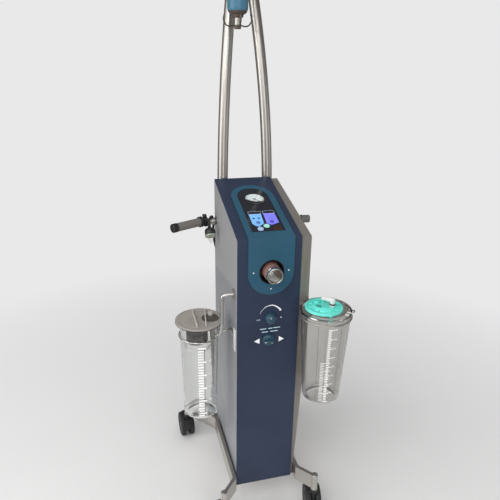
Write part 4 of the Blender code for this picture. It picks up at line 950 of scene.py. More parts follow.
# ---------------------------------------------------------------- front port and knobs
def front_port():
    x, z = PORT
    mouth = 0.0030
    r, deep = PORT_R, -PORT_DEPTH
    cup = [(TINY, deep), (r - 0.0006, deep), (r, deep + 0.0006), (r, -0.0006), (r - 0.0005, 0)]
    cup += [(r - 0.0016, 0), (r - 0.0024, -0.0008), (r - 0.0025, -0.0030), (r - 0.0025, -0.0410)]
    cup += [(r - 0.0035, -0.0425), (TINY, -0.0425)]
    liner = round_piece(cup, on_front(x, z, mouth), 96)
    keep(liner, "port_cup", "black_plastic", "stand", "port_liner")
    floor, cap = -0.0392, PORT_REACH - 0.018
    body = [(TINY, floor), (0.0300, floor), (0.0300, floor + 0.0055), (0.0290, floor + 0.0065)]
    body += [(0.0274, floor + 0.0075), (0.0270, floor + 0.0100), (0.0270, -0.0060), (0.0262, -0.0052)]
    body += [(0.0262, -0.0030), (0.0270, -0.0022), (0.0270, cap - 0.0125), (0.0264, cap - 0.0100)]
    body += [(0.0244, cap - 0.0040), (0.0232, cap - 0.0010), (0.0215, cap - 0.0002), (TINY, cap - 0.0002)]
    keep(round_piece(body, on_front(x, z), 96), "valve_body", "copper_valve", "stand", "port_valve")
    r, groove = DIAL_R, DIAL_R - 0.0006
    ring = [(TINY, cap + GAP), (r - 0.0004, cap + GAP), (r, cap + GAP + 0.0006), (r, cap + 0.0050)]
    ring += [(groove, cap + 0.0056), (groove, cap + 0.0066), (r, cap + 0.0072), (r, 0.0385)]
    ring += [(groove, 0.0396), (0.0236, 0.0400), (0.0222, 0.0400), (0.0216, 0.0394), (0.0214, 0.0310)]
    rim = round_piece([*ring, (0.0208, 0.0302), (TINY, 0.0300)], on_front(x, z), 96)
    notch = block((-0.0022, -0.0262, 0.0330), (0.0022, -0.0205, 0.0420))
    notch.data.transform(on_front(x, z))
    cut(rim, notch)
    dial = "port_dial"
    keep(settle(rim), "dial_rim", "bright_steel", dial, "port_dial")
    face = [(TINY, 0.0299), (0.0208, 0.0299), (0.0208, 0.0306), (0.0200, 0.0310), (0.0090, 0.0312)]
    face = round_piece([*face, (0.0085, 0.0318), (TINY, 0.0320)], on_front(x, z), 64)
    keep(face, "dial_face", "dial_steel", dial)
    half = arc(0, 0, 0.0196, 138, 298, 30)
    step = flat_shape(half, 0.0022, on_front(x, z, 0.0312), 0.0005)
    keep(step, "dial_step", "bright_steel", dial)
    bar = block((-0.0023, -0.0222, 0.0285), (0.0023, 0.0222, 0.0390), edge=0.0009)
    bar.data.transform(on_front(x, z) @ turn(38, "Z"))
    keep(settle(bar), "dial_bar", "bright_steel", dial)
    pin = block((-0.0007, 0.0225, 0.0398), (0.0007, 0.0245, 0.0402))
    pin.data.transform(on_front(x, z) @ turn(-9, "Z"))
    keep(settle(pin), "dial_index", "print_white", dial)


def knob_shaft():
    """Rings of a knob's shaft and of the flat foot that turns over the plate."""
    shaft = [(TINY, -0.0135), (0.0036, -0.0135), (0.0040, -0.0130), (0.0040, 0.0006)]
    return [*shaft, (KNOB_R - 0.0005, 0.0006), (KNOB_R, 0.0012)]


def regulator():
    x, z = REGULATOR
    dome = [*knob_shaft(), (0.0199, 0.0022), (0.0192, 0.0050), (0.0183, 0.0085), (0.0170, 0.0120)]
    dome += [(0.0150, 0.0155), (0.0120, 0.0182), (0.0080, 0.0197), (0.0040, 0.0202), (TINY, 0.0203)]
    body = round_piece(dome, on_front(x, z), 96)
    groove = disc(0.0012, 0.012, shift(KNOB_R + 0.0004, 0, 0.002), 12)
    grooves = [on_front(x, z) @ turn(360 * i / 28, "Z") for i in range(28)]
    cut(body, repeated(groove, grooves))
    keep(settle(body), "regulator_dome", "dark_teal", "regulator_knob", "regulator_knob")
    line = block((-0.0006, 0.0060, 0.0188), (0.0006, 0.0105, 0.0200))
    line.data.transform(on_front(x, z) @ turn(30, "Z"))
    keep(settle(line), "regulator_line", "print_white", "regulator_knob")


def selector():
    x, z = SELECTOR
    base = [*knob_shaft(), (0.0199, 0.0060), (0.0190, 0.0085), (0.0165, 0.0108), (0.0120, 0.0118)]
    body = round_piece([*base, (TINY, 0.0122)], on_front(x, z), 80)
    grip = [(-0.0186, 0.0), (-0.0172, -0.0034), (0.0100, -0.0036), (0.0144, -0.0024), (0.0150, 0.0)]
    grip += [(0.0144, 0.0024), (0.0100, 0.0036), (-0.0172, 0.0034)]
    grip = flat_shape(grip, 0.0122, on_front(x, z, 0.0080), 0.0010)
    keep(joined(body, grip), "selector_grip", "dark_teal", "selector_knob", "selector_knob")
    line = block((-0.0172, -0.0006, 0.0200), (-0.0100, 0.0006, 0.0205))
    line.data.transform(on_front(x, z))
    keep(settle(line), "selector_line", "print_white", "selector_knob")
    spot = disc(0.0016, 0.0012, on_front(x + 0.009, z - 0.009, 0.0110), 24)
    keep(spot, "selector_spot", "print_teal", "selector_knob")


def crescent():
    """The regulator's scale: an arc that grows thicker towards more."""
    spine = [(-0.0295, -0.2422, 0.0003), (-0.0217, -0.2304, 0.0009)]
    spine += [(-0.0092, -0.2195, 0.0017), (0.0100, -0.2163, 0.0027)]
    spine += [(0.0231, -0.2219, 0.0037), (0.0330, -0.2300, 0.0048), (0.0378, -0.2372, 0.0056)]
    path = smooth_path([(x, z, width) for x, z, width in spine], 0.003)
    outer, inner = [], []
    for i, spot in enumerate(path):
        run = (path[min(i + 1, len(path) - 1)] - path[max(i - 1, 0)]).xy.normalized()
        across = Vector((-run.y, run.x)) * spot.z / 2
        outer.append(tuple(spot.xy + across))
        inner.append(tuple(spot.xy - across))
    return outer + inner[::-1]


def front_marks():
    """Plain printed marks on the teal plate: an arc, a minus, dots, bars and triangles."""
    face = on_front(0, BEND_Z, PLATE_TOP)
    ink = 0.00025
    keep(flat_shape(crescent(), ink, face), "regulator_arc", "print_white", "stand")
    keep(block((-0.0394, -0.2634, 0), (-0.0281, -0.2620, ink), face), "minus_mark", "print_teal", "stand")
    dot = disc(0.0021, ink, face @ shift(0.0395, -0.2613, 0), 24)
    keep(dot, "plus_dot", "print_white", "stand")
    rows = [(-0.0284, -0.0073, -0.2962), (-0.0007, 0.0124, -0.2958), (0.0157, 0.0378, -0.2952)]
    rows += [(-0.0217, -0.0021, -0.3072), (0.0061, 0.0299, -0.3066)]
    bars = [block((a, z - 0.0011, 0), (b, z + 0.0011, ink), face) for a, b, z in rows]
    keep(joined(*bars), "caption_bars", "print_teal", "stand")
    left = [(-0.0465, -0.3367), (-0.0287, -0.3471), (-0.0287, -0.3284)]
    right = [(0.0516, -0.3388), (0.0345, -0.3271), (0.0345, -0.3471)]
    for mark, corners in (("left", left), ("right", right)):
        keep(flat_shape(corners, ink, face), f"{mark}_arrow", "print_white", "stand")
    for i, (x, z) in enumerate(((-0.0516, -0.1042), (0.0586, -0.1037), (0.0040, -0.1604))):
        dot = disc(0.0021, ink, face @ shift(x, z, 0), 24)
        keep(dot, f"port_mark_{i}", "print_white", "stand")


# ---------------------------------------------------------------- canisters
def side_label(jar, wall, angles, drops, lift=0.0003):
    """A thin strip that follows the jar's wall."""
    let_go()
    bpy.ops.mesh.primitive_grid_add(x_subdivisions=10, y_subdivisions=1, size=1)
    piece = bpy.context.object
    for corner in piece.data.vertices:
        u, v = corner.co.x + 0.5, corner.co.y + 0.5
        drop = drops[0] + (drops[1] - drops[0]) * v
        a = radians(angles[0] + (angles[1] - angles[0]) * u)
        radius = wall_radius(wall, drop) + lift
        corner.co = (jar[0] + radius * cos(a), jar[1] + radius * sin(a), jar[2] - drop)
    applied(piece, "SOLIDIFY", thickness=0.0003, offset=1)
    edit_all()
    close_up()
    return settle(piece, HERE)


def wall_radius(wall, drop):
    """Radius of a jar's outside, this far below its rim."""
    (foot, top), height = wall
    return top + (foot - top) * min(1.0, max(0.0, (drop - 0.0075) / (height - 0.0145)))


def graduations(name, jar, wall, angle, drops, count, size):
    """Ticks up the wall, every fifth one longer, with plain numbers beside those."""
    wide, thick = size
    short = block((-wide / 2, -thick / 2, 0), (wide / 2, thick / 2, 0.0003))
    long = block((-wide / 2, -thick / 2, 0), (wide, thick / 2, 0.0003))
    shorts, longs, numbers = [], [], []
    first, last = drops
    for i in range(count + 1):
        drop = first + (last - first) * i / count
        radius = wall_radius(wall, drop)
        place = on_side(jar, radius + 0.0004, drop, angle)
        (longs if i % 5 == 0 else shorts).append(place)
        if i % 5 == 0 and i < count:
            spot = on_side(jar, radius + 0.0003, drop, angle + degrees(wide * 1.75 / radius))
            numbers.append(figure(str(50 * (count - i)), 0.0064, spot))
    scale = joined(repeated(short, shorts), repeated(long, longs), *numbers)
    keep(scale, name, "scale_white", name[: name.index("jar") + 3])


def jar_wall(wall, mouth):
    """Rings of a moulded jar, up its outside, over the rim and down its inside."""
    (foot, top), height = wall
    narrowed = mouth < top - 0.004
    rings = [(TINY, -height + 0.0020), (foot - 0.0145, -height + 0.0020), (foot - 0.0110, -height)]
    rings += [(foot - 0.0060, -height), (foot - 0.0020, -height + 0.0018), (foot, -height + 0.0070)]
    for share in (0.25, 0.5, 0.75):
        drop = height - 0.0070 - (height - 0.0145) * share
        rings.append((foot + (top - foot) * share, -drop))
    rings += [(top, -0.0075), (top + 0.0019, -0.0064), (top + 0.0020, -0.0056), (top + 0.0020, -0.0006)]
    rings += [(top + 0.0014, 0.0), (mouth + 0.0006, 0.0), (mouth, -0.0006), (mouth, -0.0046)]
    rings += [(mouth + 0.0020, -0.0054) if narrowed else (mouth + 0.0004, -0.0054)]
    rings += [(top - 0.0030, -0.0085) if narrowed else (top - 0.0030, -0.0060)]
    for share in (0.75, 0.5, 0.25):
        drop = height - 0.0080 - (height - 0.0165) * share
        rings.append((foot - 0.0030 + (top - foot) * share, -drop))
    rings += [(foot - 0.0030, -height + 0.0080), (foot - 0.0050, -height + 0.0055)]
    rings += [(foot - 0.0090, -height + 0.0048)]
    return [*rings, (TINY, -height + 0.0046)]


def left_canister():
    x, y, rim = LEFT_JAR
    mouth = LEFT_WALL[0][1] - 0.003
    wall = round_piece(jar_wall(LEFT_WALL, mouth), at(*LEFT_JAR), 96)
    keep(wall, "left_jar_wall", "clear_plastic", "left_jar", "left_jar")
    ruler = side_label(LEFT_JAR, LEFT_WALL, (-84.5, -83.2), (0.068, 0.325), 0.0001)
    keep(ruler, "left_jar_line", "print_dark", "left_jar")
    size = (0.0175, 0.0052)
    graduations("left_jar_scale", LEFT_JAR, LEFT_WALL, -95.5, (0.066, 0.322), 26, size)
    lid = [(TINY, 0.0022), (0.0630, 0.0022), (0.0640, 0.0004), (0.0728, 0.0004)]
    lid += [(0.0745, 0.0014), (0.0750, 0.0030), (0.0750, 0.0056), (0.0742, 0.0072)]
    lid += [(0.0722, 0.0080), (0.0680, 0.0080), (0.0668, 0.0070), (0.0560, 0.0066)]
    lid += [(0.0550, 0.0074), (0.0300, 0.0076), (0.0290, 0.0068), (TINY, 0.0068)]
    keep(round_piece(lid, at(*LEFT_JAR), 96), "left_lid_plate", "smoky_lid", "left_lid", "left_lid")
    seal = [(0.0712, 0.0005), (0.0746, 0.0004), (0.0752, 0.0012)]
    seal += [(0.0752, 0.0026), (0.0744, 0.0030), (0.0712, 0.0005)]
    keep(round_piece(seal, at(*LEFT_JAR), 96), "left_lid_seal", "dark_rubber", "left_lid")
    outline = [(-0.056, 0), (0.056, 0), (0.054, 0.0070), (0.049, 0.0105)]
    outline += [(-0.049, 0.0105), (-0.054, 0.0070)]
    for i, (ridge, slant) in enumerate(((-0.014, 0), (0.021, -7))):
        place = at(x + ridge, y, rim + 0.0072) @ turn(slant - 90, "Z")
        place = place @ turn(90, "X") @ shift(0, 0, -0.0022)
        rib = flat_shape(outline, 0.0044, place, 0.0016)
        keep(rib, f"left_lid_rib_{i}", "pale_lid", "left_lid")
    well = [(TINY, 0.0070), (0.0270, 0.0070), (0.0275, 0.0078)]
    well += [(0.0270, 0.0088), (0.0250, 0.0090), (0.0240, 0.0082)]
    well = round_piece([*well, (TINY, 0.0080)], at(x + 0.036, y - 0.002, rim), 48)
    keep(well, "left_lid_well", "dark_lid", "left_lid")
    spout = [(TINY, 0.0078), (0.0085, 0.0078), (0.0085, 0.0170)]
    spout += [(0.0078, 0.0180), (0.0062, 0.0180), (0.0060, 0.0110)]
    spout = round_piece([*spout, (TINY, 0.0110)], at(x + 0.040, y + 0.018, rim), 40)
    keep(spout, "left_lid_spout", "pale_lid", "left_lid")
    float_cage(x, y, rim)


def float_cage(x, y, rim):
    """Under the left lid: a slotted cup, wire hoops on legs and a long dip rod."""
    cage = [(TINY, -0.0700), (0.0200, -0.0698), (0.0216, -0.0685), (0.0220, -0.0660), (0.0300, -0.0655)]
    cage += [(0.0335, -0.0645), (0.0345, -0.0620)]
    for i in range(4):
        height = -0.0560 + 0.0130 * i
        cage += [(0.0345, height), (0.0330, height + 0.0012)]
        cage += [(0.0330, height + 0.0030), (0.0345, height + 0.0042)]
    cage += [(0.0345, -0.0012), (0.0340, -0.0004), (TINY, -0.0004)]
    middle = at(x - 0.008, y - 0.006, rim)
    cup = round_piece(cage, middle, 72)
    slot = block((-0.0020, -0.040, -0.060), (0.0020, -0.028, -0.010))
    cut(cup, repeated(slot, [middle @ turn(a, "Z") for a in range(-120, 181, 30)]))
    keep(settle(cup), "left_float_cup", "dark_steel", "left_lid", "left_float_cage")
    for i, drop in enumerate((0.0730, 0.0790, 0.0850)):
        hoop = ring_bar(0.0430 - 0.0012 * i, 0.0011, at(x - 0.006, y - 0.006, rim - drop), 72, 10)
        keep(hoop, f"left_float_hoop_{i}", "bright_steel", "left_lid")
    for i, angle in enumerate((-40, 80, 200)):
        a, leg = radians(angle), []
        for r, drop in ((0.034, 0.060), (0.0415, 0.0855)):
            leg.append((x - 0.007 + r * cos(a), y - 0.006 + r * sin(a), rim - drop))
        keep(bent_bar(leg, 0.0010, HERE, 3), f"left_float_leg_{i}", "bright_steel", "left_lid")
    rod = [(TINY, -0.0090), (0.0078, -0.0090), (0.0078, -0.0560), (0.0062, -0.0570), (0.0062, -0.1100)]
    rod += [(0.0050, -0.1110), (0.0050, -0.1600), (0.0022, -0.1615), (0.0018, -0.2350), (0.0012, -0.2362)]
    tube = round_piece([*rod, (TINY, -0.2364)], at(x + 0.0400, y - 0.0140, rim), 36)
    keep(tube, "left_dip_rod", "smoky_lid", "left_lid")


def right_canister():
    wall = round_piece(jar_wall(RIGHT_WALL, RIGHT_MOUTH_R), at(*RIGHT_JAR), 96)
    keep(wall, "right_jar_wall", "grey_clear", "right_jar", "right_jar")
    size = (0.0090, 0.0030)
    graduations("right_jar_scale", RIGHT_JAR, RIGHT_WALL, -101, (0.034, 0.292), 40, size)
    size = (0.0110, 0.0016)
    graduations("right_jar_fine", RIGHT_JAR, RIGHT_WALL, -114, (0.150, 0.290), 25, size)
    arrow = [(0, 0.0), (0.010, 0.004), (0.010, -0.004)]
    place = on_side(RIGHT_JAR, wall_radius(RIGHT_WALL, 0.022) + 0.0003, 0.022, -103)
    keep(flat_shape(arrow, 0.0003, place), "right_jar_arrow", "scale_white", "right_jar")
    for i, angle in enumerate((-128, -72, 60, 170)):
        line = []
        for drop in (0.012, 0.296):
            spot = on_side(RIGHT_JAR, wall_radius(RIGHT_WALL, drop) - 0.0002, drop, angle)
            line.append(spot.translation - MIDDLE)
        keep(bent_bar(line, 0.0007, HERE, 2), f"right_jar_seam_{i}", "grey_clear", "right_jar")
    right_lid(*RIGHT_JAR)
    clips = []
    for a in (-52, -38):
        clip = block((-0.0035, -0.0010, -0.002), (0.0035, 0.0010, 0.0105), edge=0.0006)
        clip.data.transform(on_side(RIGHT_JAR, 0.0660, -0.0010, a))
        clips.append(clip)
    keep(settle(joined(*clips)), "right_jar_clips", "white_plastic", "right_jar")


def right_lid(x, y, rim):
    """A clear seat in the jar's mouth, with the ribbed turquoise cap a little to its left."""
    plug = RIGHT_MOUTH_R - GAP
    seat = [(TINY, -0.0080), (plug - 0.0012, -0.0080), (plug, -0.0068)]
    seat += [(plug, 0.0004), (RIGHT_LID_R - 0.0010, 0.0004), (RIGHT_LID_R, 0.0010)]
    seat += [(RIGHT_LID_R, 0.0022), (RIGHT_LID_R - 0.0010, 0.0030), (TINY, 0.0030)]
    keep(round_piece(seat, at(*RIGHT_JAR), 112), "right_lid_seat", "taupe_clear", "right_lid", "right_lid")
    middle, r = (x - CAP_LEFT, y - 0.0020, rim), CAP_R
    lid = [(TINY, 0.0032), (r - 0.0006, 0.0032), (r, 0.0038), (r, 0.0086), (r - 0.0008, 0.0102)]
    lid += [(r - 0.0026, 0.0110), (r - 0.0070, 0.0110), (r - 0.0085, 0.0100), (r - 0.0100, 0.0066)]
    lid += [(r - 0.0115, 0.0058), (r - 0.0210, 0.0058), (r - 0.0225, 0.0070), (r - 0.0240, 0.0104)]
    lid += [(r - 0.0255, 0.0116), (0.0290, 0.0120)]
    cover = round_piece([*lid, (TINY, 0.0120)], at(*middle), 112)
    keep(cover, "right_lid_cover", "turquoise_lid", "right_lid")
    spoke = block((0.0345, -0.0016, 0.0050), (0.0480, 0.0016, 0.0095), edge=0.0006)
    turns = [at(*middle) @ turn(30 * i + 15, "Z") for i in range(12)]
    keep(repeated(spoke, turns), "right_lid_ribs", "turquoise_lid", "right_lid")
    bow = arc(x - 0.014, y, 0.024, 150, 330, 16)
    bow = bent_bar([(bx, by, rim + 0.0125) for bx, by in bow], 0.0022)
    keep(bow, "right_lid_bow", "turquoise_lid", "right_lid")
    hollow = [(TINY, 0.0119), (0.0100, 0.0119), (0.0105, 0.0128)]
    hollow += [(0.0095, 0.0134), (0.0085, 0.0126), (TINY, 0.0124)]
    hollow = round_piece(hollow, at(x - 0.028, y - 0.004, rim), 40)
    keep(hollow, "right_lid_well", "deep_turquoise", "right_lid")
    stubs = (-0.024, 0.018, 0.0085, 0.0208), (-0.004, 0.022, 0.0060, 0.0198)
    for i, (dx, dy, radius, height) in enumerate(stubs):
        port = [(TINY, 0.0118), (radius, 0.0118), (radius, height - 0.0008), (radius - 0.0008, height)]
        port += [(radius - 0.0020, height), (radius - 0.0022, 0.0150), (TINY, 0.0150)]
        port = round_piece(port, at(x + dx, y + dy, rim), 40)
        keep(port, f"right_lid_port_{i}", "turquoise_lid", "right_lid")
    tab = block((-0.0050, -0.0130, -0.0012), (0.0050, 0.0080, 0.0014), edge=0.0010)
    tab.data.transform(on_side(middle, CAP_R + 0.0015, -0.004, -92))
    keep(settle(tab), "right_lid_tab", "turquoise_lid", "right_lid")
    elbow(x, y, rim)


def elbow(x, y, rim):
    """The white hose elbow on the right lid, its spout pointing back to the left."""
    foot = Vector((x + 0.014, y - 0.012, rim + 0.0122))
    bend = foot + Vector((0, 0, 0.018))
    spout = bend + Vector((-0.030, 0.014, 0.006))
    rings = [(TINY, 0), (0.0085, 0), (0.0085, 0.0030), (0.0078, 0.0036), (0.0078, 0.0200), (0.0074, 0.0236)]
    rings += [(0.0058, 0.0254), (0.0030, 0.0260), (TINY, 0.0261)]
    upright = round_piece(rings, at(*foot), 48)
    run = (spout - bend).length
    side = [(TINY, 0), (0.0068, 0), (0.0068, 0.016), (0.0062, 0.018), (0.0062, 0.022), (0.0067, 0.0232)]
    side += [(0.0060, 0.027), (0.0056, run - 0.001), (0.0050, run), (0.0036, run)]
    side += [(0.0034, run - 0.012), (TINY, run - 0.012)]
    arm = round_piece(side, along(bend, spout), 40)
    keep(joined(upright, arm), "right_elbow_fitting", "white_plastic", "right_lid", "right_elbow")
    collar = [(0.0079, 0.0045), (0.0088, 0.0045), (0.0090, 0.0052)]
    collar += [(0.0090, 0.0078), (0.0088, 0.0085), (0.0079, 0.0085)]
    keep(round_piece([*collar, collar[0]], at(*foot), 48), "right_elbow_collar", "black_plastic", "right_lid")


def ring_radius(wall, drop):
    """Inner radius of a ring that holds a jar this far below its rim."""
    (foot, top), height = wall
    return foot + (top - foot) * (height - drop) / height + 0.0006


def left_bracket():
    x, y, rim = LEFT_JAR
    level = rim - LEFT_RING_DROP
    inner = ring_radius(LEFT_WALL, LEFT_RING_DROP)
    hoop = ring_bar(inner + WIRE_R, WIRE_R, at(x, y, level), 96, 16)
    keep(hoop, "left_ring", "bright_steel", "stand", "left_bracket")
    path = [(-0.1015, 0.040, 0.840), (-0.1240, 0.040, 0.840), (-0.1340, 0.040, 0.8375)]
    path += [(-0.1385, 0.040, 0.8280), (-0.1395, 0.042, 0.8000), (-0.1395, 0.044, 0.7600)]
    path += [(-0.1410, 0.046, level + 0.030), (-0.1450, 0.050, level + 0.008)]
    path += [(-0.1530, 0.054, level + 0.001), (-0.1600, 0.056, level)]
    bar = bent_bar(smooth_path(path, 0.004), 0.0062, HERE, 8)
    keep(bar, "left_bracket_bar", "bright_steel", "stand")
    pad = block((PANEL_X - 0.0033, 0.0280, 0.8260), (PANEL_X, 0.0520, 0.8540), HERE, 0.0008)
    keep(pad, "left_bracket_pad", "brushed_steel", "stand")
    outer = PANEL_X - 0.0037
    low = (x + inner + 0.0020, y - 0.004, level - 0.003)
    high = (PANEL_X - 0.0012, y + 0.004, level + 0.003)
    keep(block(low, high, HERE, 0.0008), "left_ring_arm", "bright_steel", "stand")
    low, high = (outer, y - 0.065, level - 0.045), (PANEL_X, y - 0.040, level + 0.030)
    keep(block(low, high, HERE, 0.0012), "left_flange", "white_plastic", "stand")
    low, high = (outer, y - 0.045, level - 0.004), (PANEL_X, y + 0.008, level + 0.004)
    keep(block(low, high, HERE, 0.0008), "left_flange_arm", "bright_steel", "stand")
    for i, z in enumerate((level - 0.017, level + 0.017)):
        place = at(outer + 0.0001, y - 0.0525, z) @ turn(-90, "Y")
        bolt_head(place, f"left_flange_screw_{i}", 0.0034)


def right_bracket():
    x, y, rim = RIGHT_JAR
    level = rim - RIGHT_RING_DROP
    inner = ring_radius(RIGHT_WALL, RIGHT_RING_DROP)
    hoop = ring_bar(inner + WIRE_R, WIRE_R, at(x, y, level), 104, 16)
    keep(hoop, "right_ring", "polished_steel", "stand", "right_bracket")
    back = y + sqrt((inner + WIRE_R) ** 2 - (x - SHELL_X - 0.004) ** 2)
    low, high = (SHELL_X + 0.0015, back, level - 0.004), (SHELL_X + 0.0065, 0.058, level + 0.004)
    keep(block(low, high, HERE, 0.0008), "right_ring_arm", "polished_steel", "stand")
    low, high = (SHELL_X, 0.012, level - 0.025), (SHELL_X + 0.003, 0.056, level + 0.025)
    keep(block(low, high, HERE, 0.0008), "right_flange", "brushed_steel", "stand")
    for i, z in enumerate((level - 0.017, level + 0.017)):
        for j, back_y in enumerate((0.020, 0.048)):
            place = at(SHELL_X + 0.0029, back_y, z) @ turn(90, "Y")
            bolt_head(place, f"right_flange_screw_{i}{j}", 0.0030)
    side = x + inner + 0.0118
    keep(ring_bar(0.0080, 0.0019, at(side, y, level), 40, 12), "right_loop", "bright_steel", "stand")


# ---------------------------------------------------------------- side handle
def handle():
    run = (BAR_ENDS[1] - BAR_ENDS[0]).length
    r = BAR_R
    bar = [(TINY, 0), (r - 0.001, 0), (r, 0.001), (r, run - 0.001), (r - 0.001, run), (TINY, run)]
    keep(round_piece(bar, along(*BAR_ENDS), 64), "handle_bar", "polished_steel", "stand", "cross_bar")
    for i, x in enumerate((-0.1058, -0.1012)):
        band = [(r + 0.0001, 0), (r + 0.0016, 0.0002), (r + 0.0016, 0.0024), (r + 0.0001, 0.0026)]
        place = along(on_bar(x), on_bar(x + 0.01))
        keep(round_piece([*band, band[0]], place, 48), f"handle_bar_band_{i}", "dark_rubber", "stand")
    y, z = BAR_ENDS[0].y, BAR_ENDS[0].z
    low, high = (-0.1450, y - 0.0145, z - 0.0165), (-0.1305, y + 0.0165, z + 0.0165)
    clamp = block(low, high, HERE, 0.0055, 3)
    cut(clamp, disc(BAR_R + 0.0002, 0.040, along(on_bar(-0.1472), on_bar(-0.12)), 48))
    keep(settle(clamp), "handle_clamp", "black_plastic", "stand", "left_clamp")
    knob = [(TINY, 0.015), (0.0050, 0.015), (0.0050, 0.0185), (0.0070, 0.0190), (0.0078, 0.0205)]
    knob += [(0.0076, 0.0240), (0.0064, 0.0262), (0.0030, 0.0270), (TINY, 0.0271)]
    keep(round_piece(knob, at(-0.1415, y - 0.004, z), 28), "handle_clamp_knob", "black_plastic", "stand")
    heading = Vector((-cos(GRIP_TURN), -sin(GRIP_TURN), 0))
    start = Vector((-0.1570, y - 0.004, z)) + heading * 0.004
    place = along(start, start + heading)
    collar = [(0.0147, -0.0110), (0.0178, -0.0110), (0.0185, -0.0102)]
    collar += [(0.0185, -0.0008), (0.0178, 0.0), (0.0147, 0.0)]
    keep(round_piece([*collar, collar[0]], place, 56), "grip_collar", "black_plastic", "stand")
    tube = [(TINY, -0.0130), (GRIP_R - 0.0007, -0.0130)]
    tube += [(GRIP_R, -0.0122), (GRIP_R, 0.0940), (TINY, 0.0940)]
    keep(round_piece(tube, place, 56), "left_grip_tube", "grey_grip", "stand", "left_grip")
    cap = [(TINY, 0.0938), (0.0150, 0.0938), (0.0153, 0.0946), (0.0153, 0.1090), (0.0148, 0.1108)]
    cap += [(0.0132, 0.1118), (0.0060, 0.1120), (TINY, 0.1116)]
    keep(round_piece(cap, place, 56), "left_grip_cap", "black_plastic", "stand")
    lean = along(BAR_ENDS[1], BAR_ENDS[1] * 2 - BAR_ENDS[0])
    end = [(TINY, GAP), (0.0155, GAP), (0.0155, 0.0030), (0.0148, 0.0040), (0.0140, 0.0046)]
    for i in range(4):
        height = 0.0090 + 0.0055 * i
        end += [(0.0140, height), (0.0133, height + 0.0004)]
        end += [(0.0133, height + 0.0012), (0.0140, height + 0.0016)]
    end += [(0.0140, 0.0300), (0.0130, 0.0314), (0.0100, 0.0320), (TINY, 0.0320)]
    keep(round_piece(end, lean, 56), "right_grip_end", "grey_grip", "stand", "right_grip")


# ---------------------------------------------------------------- mast
def posts():
    heights = [BODY_BOTTOM + 0.0058, 0.40, 0.80, BEND_Z]
    heights += [BEND_Z + (POST_TOP - BEND_Z) * (i + 1) / 28 for i in range(28)]
    for side, name in ((-1, "left_post"), (1, "right_post")):
        tube = bent_bar([post_point(side, z) for z in heights], POST_R, HERE, 14)
        keep(tube, f"{name}_tube", "polished_steel", "stand", name)


def crown():
    y = post_point(0, POST_TOP).y
    base = POST_TOP + 0.0050
    low, high = (POST_X - 0.041, y - 0.021, base), (POST_X + 0.041, y + 0.023, base + 0.026)
    cap = block(low, high, HERE, 0.0075, 4)
    keep(cap, "crown_cap", "teal_plastic", "stand", "post_crown")
    hx, hy = HANGER
    arm = [(POST_X - 0.016, y), (POST_X + 0.016, y), (hx + 0.011, hy - 0.010), (hx - 0.011, hy - 0.010)]
    keep(flat_shape(arm, 0.010, at(0, 0, base + 0.007), 0.002), "crown_arm", "teal_plastic", "stand")
    foot, top = POD_TOP + 0.0006, base + 0.0120
    drop = [(TINY, foot), (0.0060, foot), (0.0060, top), (TINY, top)]
    keep(round_piece(drop, at(hx, hy, 0), 36), "crown_drop", "polished_steel", "stand")
    for side in (-1, 1):
        spot = post_point(side, POST_TOP - 0.008)
        band = [(0.0183, -0.006), (0.0205, -0.006), (0.0208, 0.006), (0.0183, 0.006), (0.0183, -0.006)]
        name = "left" if side < 0 else "right"
        keep(round_piece(band, at(*spot), 48), f"crown_collar_{name}", "black_plastic", "stand")


def hanging_scale():
    x, y = HANGER
    height = POD_TOP - POD_BOTTOM
    r = POD_R
    pod = [(TINY, 0.0100), (0.0300, 0.0100), (0.0318, 0.0130), (r, 0.0190), (r, height - 0.0300)]
    pod += [(r - 0.0006, height - 0.0292), (r - 0.0006, height - 0.0280), (r, height - 0.0272)]
    pod += [(r, height - 0.0170), (0.0312, height - 0.0110), (0.0270, height - 0.0055)]
    pod += [(0.0200, height - 0.0015), (0.0140, height)]
    body = round_piece([*pod, (TINY, height)], at(x, y, POD_BOTTOM), 80)
    keep(body, "scale_pod", "pod_teal", "stand", "scale_housing")
    foot = [(TINY, -0.0080), (0.0165, -0.0080), (0.0178, -0.0068), (0.0180, -0.0020), (0.0195, 0.0004)]
    foot += [(0.0240, 0.0022), (0.0285, 0.0062), (0.0304, 0.0100), (TINY, 0.0100)]
    keep(round_piece(foot, at(x, y, POD_BOTTOM), 80), "scale_foot", "brown_collar", "stand")
    seam = flat_shape([(-0.009, 0), (0.009, 0), (0.009, 0.022), (-0.009, 0.022)], 0.0006, Matrix(), 0.0002)
    seam.data.transform(on_side((x, y, POD_BOTTOM), 0.0322, -0.050, 90))
    keep(settle(seam), "scale_window", "console_glass", "stand")


